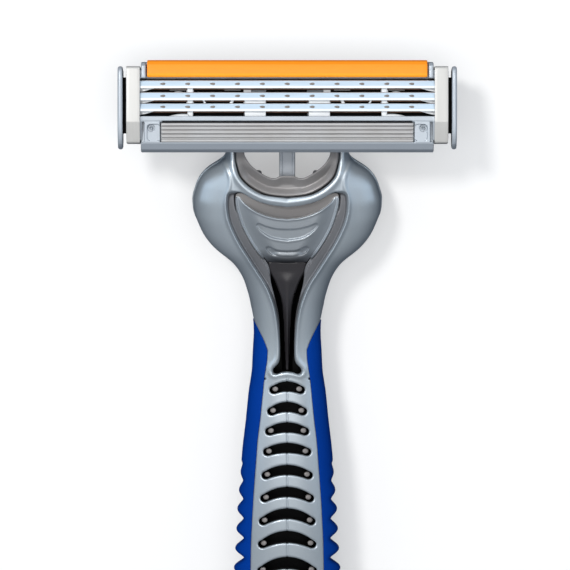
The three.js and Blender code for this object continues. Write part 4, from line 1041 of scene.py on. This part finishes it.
EDGES = [7.92, 6.43, 5.07]
TILT = math.radians(22)
T, N = np.array([math.cos(TILT), -math.sin(TILT)]), np.array([math.sin(TILT), math.cos(TILT)])


def on_blade(v, s, d):
    return (v + T[0] * s - N[0] * d, -0.05 + T[1] * s - N[1] * d)


def blade(k, v):
    prof = [on_blade(v, 0.0, 0.050), on_blade(v, 0.02, 0.032), on_blade(v, 0.30, 0.0), on_blade(v, 0.985, 0.0), on_blade(v, 1.0, 0.015),
            on_blade(v, 1.0, 0.085), on_blade(v, 0.985, 0.1), on_blade(v, 0.30, 0.1), on_blade(v, 0.02, 0.068)]
    limit = v + T[0] * 0.33

    def which(p, q):
        return 1 if (p[0] + q[0]) / 2 < limit - 0.05 else 0

    return prism(f"blade_{k}_fine", prof, -19.0, 19.0, [STEEL, BEVEL_GLINT], end=0.03, cuts=60, which=which)


def nuggets(k, v):
    """Row of laser welds on top of one blade."""
    verts, faces = [], []
    rings = [(1.0, 0.0), (0.86, 0.022), (0.62, 0.030), (0.34, 0.012), (0.0, 0.004)]
    m = 18
    for i in range(11):
        cx = -15.42 + 3.08 * i
        skew = 0.05 * math.sin(2.1 * i + k)
        base = len(verts)
        for rr, hh in rings[:-1]:
            for j in range(m):
                a = j / m * 2 * math.pi
                dx, ds = 0.34 * rr * math.cos(a), 0.165 * rr * math.sin(a) * (1 + 0.35 * math.cos(a))
                p = on_blade(v, 0.565 + ds + skew * dx, -hh + 0.003)
                verts.append((cx + dx, *p))
        p = on_blade(v, 0.565, -rings[-1][1] + 0.003)
        verts.append((cx, *p))
        for r in range(len(rings) - 2):
            for j in range(m):
                faces.append((base + r * m + j, base + r * m + (j + 1) % m, base + (r + 1) * m + (j + 1) % m, base + (r + 1) * m + j))
        top = base + (len(rings) - 2) * m
        for j in range(m):
            faces.append((top + j, top + (j + 1) % m, len(verts) - 1))
        # underside closes the bead against the blade
        faces.append(tuple(base + j for j in range(m))[::-1])
    me = bpy.data.meshes.new(f"weld_row_{k}")
    me.from_pydata([tuple(p) for p in face_to_row(np.array(verts))], [], faces)
    bm = bmesh.new()
    bm.from_mesh(me)
    bmesh.ops.recalc_face_normals(bm, faces=bm.faces)
    bm.to_mesh(me)
    bm.free()
    me.polygons.foreach_set("use_smooth", np.full(len(me.polygons), True))
    me.materials.append(NUGGET)
    ob = bpy.data.objects.new(f"weld_row_{k}", me)
    bpy.context.scene.collection.objects.link(ob)
    return ob


def guard_profile():
    tips = [(1.42, -0.42), (1.98, -0.3), (2.47, -0.2), (2.97, -0.12), (3.42, -0.05)]
    pts = [(1.36, -1.12)]
    for v, w in tips:
        pts += [(v - 0.20, w - 0.34), (v - 0.165, w - 0.10), (v - 0.10, w - 0.01), (v, w + 0.02), (v + 0.10, w + 0.01), (v + 0.165, w - 0.07), (v + 0.20, w - 0.30)]
    pts.append((3.66, -1.12))
    return [p for i, p in enumerate(pts) if i == 0 or p[0] > pts[i - 1][0] - 0.2]


STRIP_PROFILE = closed_fillet([(9.30, -1.32), (9.27, -0.10), (9.46, 0.06), (9.75, 0.12), (10.3, 0.11), (10.85, 0.0), (11.22, -0.3), (11.42, -0.78), (11.30, -1.32)], 0.14, 4)
CLIP_PROFILE = thicken(fillet([(9.0, -4.42), (10.51, -4.42), (10.51, 0.14), (3.76, 0.14), (1.24, -0.86), (1.24, -4.42), (2.6, -4.42)], 0.30, 6), 0.25)
made = []


def put(ob, body, stands_for=()):
    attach(ob, body)
    if stands_for:
        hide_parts(*stands_for)
    made.append(ob)
    return ob


# handle
def slots_by(ob, extra, pick):
    """Give some faces of a piece another material, chosen by where they lie."""
    for m in extra:
        ob.data.materials.append(m)
    c = np.zeros(len(ob.data.polygons) * 3, f32)
    ob.data.polygons.foreach_get("center", c)
    c = c.reshape(-1, 3).astype(float) * 1000 - (0, DY, DZ)
    P = (c[:, 0], c[:, 1], c[:, 2])
    ob.data.polygons.foreach_set("material_index", pick(np.abs(c[:, 0]), face_v(P), P).astype(np.int32))
    return ob


front = sdf_piece("front_shell_fine", f_front, (-13, -114.6, -9.6), (13, 1.8, -0.2), 0.15, SILVER)
# groove floor faces inside the recess take the darker copy, as painted shade
slots_by(front, [GROOVE_SHADE], lambda x, v, P: (recess2(x, v) < -0.26) & (v < -4.6) & (v > -28))
put(front, "handle", ["front_shell"])
put(sdf_piece("back_shell_fine", f_back, (-13, -114.6, -13.2), (13, 1.8, -4.2), 0.18, SILVER), "handle", ["back_shell"])
core = sdf_piece("core_fine", f_core, (-5.8, -119.6, -12.2), (5.8, -15.5, -1.2), 0.17, BLACK_AND_SHADE)
# faces on the raised tongue take the lighter copy, as painted light
core.data.materials.append(TONGUE_LIT_TONE)
mid = np.zeros(len(core.data.polygons) * 3, f32)
core.data.polygons.foreach_get("center", mid)
mid = mid.reshape(-1, 3).astype(float) * 1000 - (0, DY, DZ)
cv = mid[:, 1] * C - mid[:, 2] * S
on_tongue = (np.abs(mid[:, 0]) < RIDGE(cv) + 0.12) & (cv > -27.2) & (mid[:, 2] > FRONT(mid[:, 1]) - 2.4)
core.data.polygons.foreach_set("material_index", on_tongue.astype(np.int32))
put(core, "handle", ["core_inlay"])
put(sdf_piece("grip_right_fine", f_grip, (1.0, -114.6, -13.2), (8.4, -15.5, -0.4), 0.16, RUBBER), "handle", ["grip_right"])
put(sdf_piece("grip_left_fine", f_grip, (-8.4, -114.6, -13.2), (-1.0, -15.5, -0.4), 0.16, RUBBER), "handle", ["grip_left"])
put(sdf_piece("back_pad_fine", f_pad, (-3.6, -101.4, -13.2), (3.6, -46.6, -8.0), 0.13, RUBBER), "handle", ["back_grip_pad"])
put(sdf_piece("butt_cap_fine", f_cap, (-6.4, -128.4, -13.2), (6.4, -113.4, -4.6), 0.14, CAP), "handle", ["butt_cap"])
put(sdf_piece("window_lenses", f_pegs, (-4.6, -84, -6.6), (4.6, -28, -1.2), 0.10, PEG), "handle")
put(coil("plunger_spring_fine", 0.76, 0.17, -14.35, -20.45, 6, PLUNGER_Z, SPRING), "handle", ["plunger_spring"])
put(coil("button_spring_fine", 0.6, 0.14, -14.85, -19.35, 6, -9.3, SPRING), "handle", ["button_spring"])

button = sdf_piece("release_button_fine", f_button, (-7.2, -17.8, -6.8), (7.2, -4.2, -2.6), 0.10, BUTTON)
# flange faces above the pad take the painted-shade copy
slots_by(button, [BUTTON_FLANGE_SHADE], lambda x, v, P: (pad2(x, v) > 0.03) & (v > -10))
put(button, "button", ["release_button"])
put(sdf_piece("plunger_fine", f_plunger, (-1.4, -14.6, -8.2), (1.4, 0.8, -5.2), 0.07, STEM), "plunger", ["plunger"])
put(sdf_piece("yoke_fine", f_yoke, (-8.2, -11.6, -8.4), (8.2, 2.4, -2.4), 0.11, YOKE), "yoke", ["yoke"])

# cartridge
housing = sdf_piece("housing_fine", f_housing, (-21.5, -0.8, -6.0), (21.5, 12.0, 0.9), 0.115, FRAME, face_to_row)
housing.data.materials.append(FRAME_LOW_SHADE)
housing.data.materials.append(BLACK_AND_SHADE)
mid = np.zeros(len(housing.data.polygons) * 3, f32)
housing.data.polygons.foreach_get("center", mid)
mid = mid.reshape(-1, 3).astype(float) * 1000 - (0, DY, DZ)
cx, cv, cw = np.abs(mid[:, 0]), mid[:, 1] * C - mid[:, 2] * S, mid[:, 1] * S + mid[:, 2] * C
# faces of the lower band take the painted-shade copy
kind = np.where(cv < 1.02, 1, 0)
# the neck between end block and flange, and the thin groove above the guard, are painted near-black as shade
kind = np.where((cx > 19.96) & (cx < 20.38), 2, kind)
kind = np.where((cv > 3.66) & (cv < 3.84) & (cx < 15.45) & (cw < -0.15) & (cw > -1.3), 2, kind)
housing.data.polygons.foreach_set("material_index", kind.astype(np.int32))
put(housing, "cartridge", ["cartridge_housing"])
guard = prism("guard_strip_fine", guard_profile(), -15.6, 15.6, GUARD, end=0.09, cuts=40)
put(guard, "cartridge", ["guard_strip"])
put(prism("lubricating_strip_fine", STRIP_PROFILE, -17.35, 17.35, [ORANGE, ORANGE_EDGE], end=0.14, cuts=60, which=lambda p, q: int((p[0] + q[0]) / 2 < 9.62)), "cartridge", ["lubricating_strip"])
put(prism("end_clip_right_fine", CLIP_PROFILE, 18.24, 19.92, CLIP, end=0.06, cuts=4), "cartridge", ["end_clip_right"])
put(prism("end_clip_left_fine", CLIP_PROFILE, -19.92, -18.24, CLIP, end=0.06, cuts=4), "cartridge", ["end_clip_left"])

posts = []
for s in (-1, 1):
    for i, (v0, v1) in enumerate([(4.40, 5.22), (6.05, 6.62), (7.40, 8.10)]):
        posts.append(block("p", min(s * 12.36, s * 11.68), max(s * 12.36, s * 11.68), v0, v1, -2.85, -0.62, POST, 0.07))
        if i < 2:
            posts.append(block("p", min(s * 5.28, s * 2.66), max(s * 5.28, s * 2.66), v0, v1, -2.85, -0.66, POST, 0.08))
    posts.append(block("p", min(s * 10.42, s * 10.18), max(s * 10.42, s * 10.18), 6.02, 6.55, -2.85, -0.70, POST, 0.05, slant=0.5 * s))
    posts.append(block("p", min(s * 7.05, s * 6.65), max(s * 7.05, s * 6.65), 6.02, 6.55, -2.85, -0.70, POST, 0.06, slant=-0.5 * s))
put(join("blade_posts", posts), "cartridge")

# thin dark brown bars under each blade edge: painted shadow in the gap below the blade
lines = [prism("l", closed_fillet([(v - 0.16, -1.75), (v + 0.14, -1.75), (v + 0.14, -1.15), (v - 0.16, -1.10)], 0.06, 2), -18.9, 18.9, CAVITY_SHADOW, end=0.05, cuts=20)
         for v in (7.92, 6.43, 5.07)]
put(join("blade_shadow_lines", lines), "cartridge")

humps = []
for s in (-1, 1):
    prof = closed_fillet([(4.2, -1.6), (4.70, -1.6), (4.74, -0.5), (4.55, -0.26), (4.2, -0.2)], 0.1, 3)
    x0, x1 = sorted((s * 15.3, s * 12.2))
    xm, xr = s * 12.9, 2.45
    humps.append(prism("h", prof, x0, x1, POST, end=0.05, cuts=18, wave=lambda x, v, w, xm=xm, xr=xr: (x, 4.2 + (v - 4.2) * max(0.06, 1 - ((x - xm) / xr) ** 2), w)))
for s in (-1, 1):
    for v in (7.33, 5.84):
        prof = closed_fillet([(v, -1.7), (v + 0.20, -1.7), (v + 0.22, -1.22), (v + 0.1, -1.1), (v, -1.1)], 0.06, 3)
        x0, x1 = sorted((s * 14.35, s * 12.6))
        xm, xr = (x0 + x1) / 2, (x1 - x0) / 2
        humps.append(prism("h", prof, x0, x1, POST, end=0.05, cuts=12, wave=lambda x, a, w, xm=xm, xr=xr, v=v: (x, v + (a - v) * max(0.06, 1 - ((x - xm) / xr) ** 2), w)))
put(join("ledge_tabs", humps), "cartridge")

for i, v in enumerate(EDGES, 1):
    body = f"blade_unit_{i}"
    put(blade(i, v), body, [f"blade_{i}"])
    put(nuggets(i, v), body)
    for side, s in (("left", -1), ("right", 1)):
        # slanted finger: thick at the end wall, thin under the blade
        pts = [(19.1, v - 0.46), (18.3, v - 0.47), (17.4, v - 0.28), (16.55, v - 0.04), (16.4, v + 0.06), (16.6, v + 0.16), (19.1, v + 0.2)]
        m = len(pts)
        verts = [(s * x, vv, -0.60 - 0.35 * (x - 16.4) / 2.7) for x, vv in pts] + [(s * x, vv, -0.92 - 1.08 * (x - 16.4) / 2.7) for x, vv in pts]
        bm = bmesh.new()
        bv = [bm.verts.new(p) for p in face_to_row(np.array(verts))]
        bm.faces.new(bv[:m])
        bm.faces.new(bv[m:][::-1])
        for j in range(m):
            bm.faces.new((bv[j], bv[m + j], bv[m + (j + 1) % m], bv[(j + 1) % m]))
        bmesh.ops.recalc_face_normals(bm, faces=bm.faces)
        bmesh.ops.bevel(bm, geom=[e for e in bm.edges if e.calc_face_angle(0) > 0.5], offset=0.00005, segments=3, affect="EDGES", profile=0.5)
        bmesh.ops.triangulate(bm, faces=[f for f in bm.faces if len(f.verts) > 4])
        me = bpy.data.meshes.new(f"finger_{i}_{side}")
        bm.to_mesh(me)
        bm.free()
        me.polygons.foreach_set("use_smooth", np.full(len(me.polygons), True))
        me.set_sharp_from_angle(angle=math.radians(40))
        me.materials.append(POST)
        ob = bpy.data.objects.new(f"spring_finger_{i}_{side}_fine", me)
        bpy.context.scene.collection.objects.link(ob)
        put(ob, "cartridge", [f"spring_finger_{i}_{side}"])
        tuple(face_to_row((s * 19.0, v, -2.0)))
        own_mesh(ob)

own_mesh(bpy.data.objects["plunger_spring_fine"], "plunger_slide", axis=(0, 1, 0), anchor=tuple(handle_to_row((0, -20.45, PLUNGER_Z))), keep=0.65)

# carried-over CAD nodes
FINISH = {"ejector": BLACK_AND_SHADE, "blade_carrier": BLACK_AND_SHADE, "blade_support_1": SUPPORT, "blade_support_2": SUPPORT, "blade_support_3": SUPPORT}
for name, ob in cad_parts.items():
    if not ob.hide_render:
        ob.data.materials.clear()
        ob.data.materials.append(FINISH.get(name, SILVER))

# ------------------------------------------------------------------ stage, camera, light
floor_mat = material("pale_floor", (0.54, 0.54, 0.543), 0.7, 0.0, spread=0.004, rough_spread=0.03, scale=300, bump=0.01, bump_scale=900, specular=0.2)
bpy.ops.mesh.primitive_grid_add(x_subdivisions=8, y_subdivisions=8, size=3.0, location=(0, 0, -0.00002))
floor = bpy.context.object
floor.name = "floor"
lit = floor_mat.node_tree.nodes["Principled BSDF"]
lit.inputs["Emission Color"].default_value = (1, 1, 1, 1)
lit.inputs["Emission Strength"].default_value = 0.40
floor.data.materials.append(floor_mat)
floor.visible_diffuse = False
floor.visible_glossy = False

cam_data = bpy.data.cameras.new("camera")
cam = bpy.data.objects.new("camera", cam_data)
bpy.context.scene.collection.objects.link(cam)
eye = face_to_row((-0.28, -16.45, 600.0))
right, up, back = Vector((1, 0, 0)), Vector((0, C, -S)), Vector((0, S, C))
m = Matrix((right, up, back)).transposed().to_4x4()
m.translation = Vector(eye)
cam.matrix_world = m
cam_data.sensor_width = 36
cam_data.lens = 36 * 600 / (570 / 8.083)
cam_data.clip_start, cam_data.clip_end = 0.01, 20
cam_data.dof.use_dof = False
bpy.context.scene.camera = cam


def area(name, direction, distance, size, power, colour=(1, 1, 1), size_y=None, spread=math.pi, target=(0, 0.04, 0.005)):
    d = Vector(direction).normalized()
    light = bpy.data.lights.new(name, "AREA")
    light.shape = "RECTANGLE" if size_y else "DISK"
    light.size = size
    if size_y:
        light.size_y = size_y
    light.energy = power
    light.color = colour
    light.spread = spread
    ob = bpy.data.objects.new(name, light)
    bpy.context.scene.collection.objects.link(ob)
    ob.location = Vector(target) + d * distance
    ob.rotation_euler = (-d).to_track_quat("-Z", "Y").to_euler()
    return ob


area("key", (-0.42, 0.72, 1.0), 0.9, 0.16, 4.5, (1.0, 0.99, 0.97))
area("overhead", (0.0, 0.25, 1.0), 1.2, 1.1, 6.5, (1.0, 0.985, 0.965))
area("side_left", (-0.88, 0.05, 0.50), 0.75, 0.26, 1.1, (0.74, 0.87, 1.0), size_y=0.7)
area("side_right", (0.88, 0.05, 0.50), 0.75, 0.26, 1.1, (0.74, 0.87, 1.0), size_y=0.7)
area("far_end", (0.0, 0.9, 0.44), 0.8, 0.9, 1.25, (0.86, 0.93, 1.0), size_y=0.22)

world = bpy.data.worlds.new("studio")
bpy.context.scene.world = world
world.use_nodes = True
nt = world.node_tree
bg = nt.nodes["Background"]
tc = nt.nodes.new("ShaderNodeTexCoord")
sp = nt.nodes.new("ShaderNodeSeparateXYZ")
ramp = nt.nodes.new("ShaderNodeValToRGB")
nt.links.new(tc.outputs["Generated"], sp.inputs["Vector"])
nt.links.new(sp.outputs["Z"], ramp.inputs["Fac"])
nt.links.new(ramp.outputs["Color"], bg.inputs["Color"])
e = ramp.color_ramp.elements
e[0].position, e[0].color = 0.0, (0.10, 0.13, 0.18, 1)
e[1].position, e[1].color = 0.30, (0.16, 0.20, 0.26, 1)
for pos, col in ((0.55, (0.45, 0.48, 0.52, 1)), (0.85, (0.75, 0.77, 0.80, 1))):
    k = ramp.color_ramp.elements.new(pos)
    k.color = col
bg.inputs["Strength"].default_value = 0.4

view = bpy.context.scene.view_settings
view.view_transform = "Standard"
view.look = "None"
view.exposure = 0.0
view.gamma = 1.0
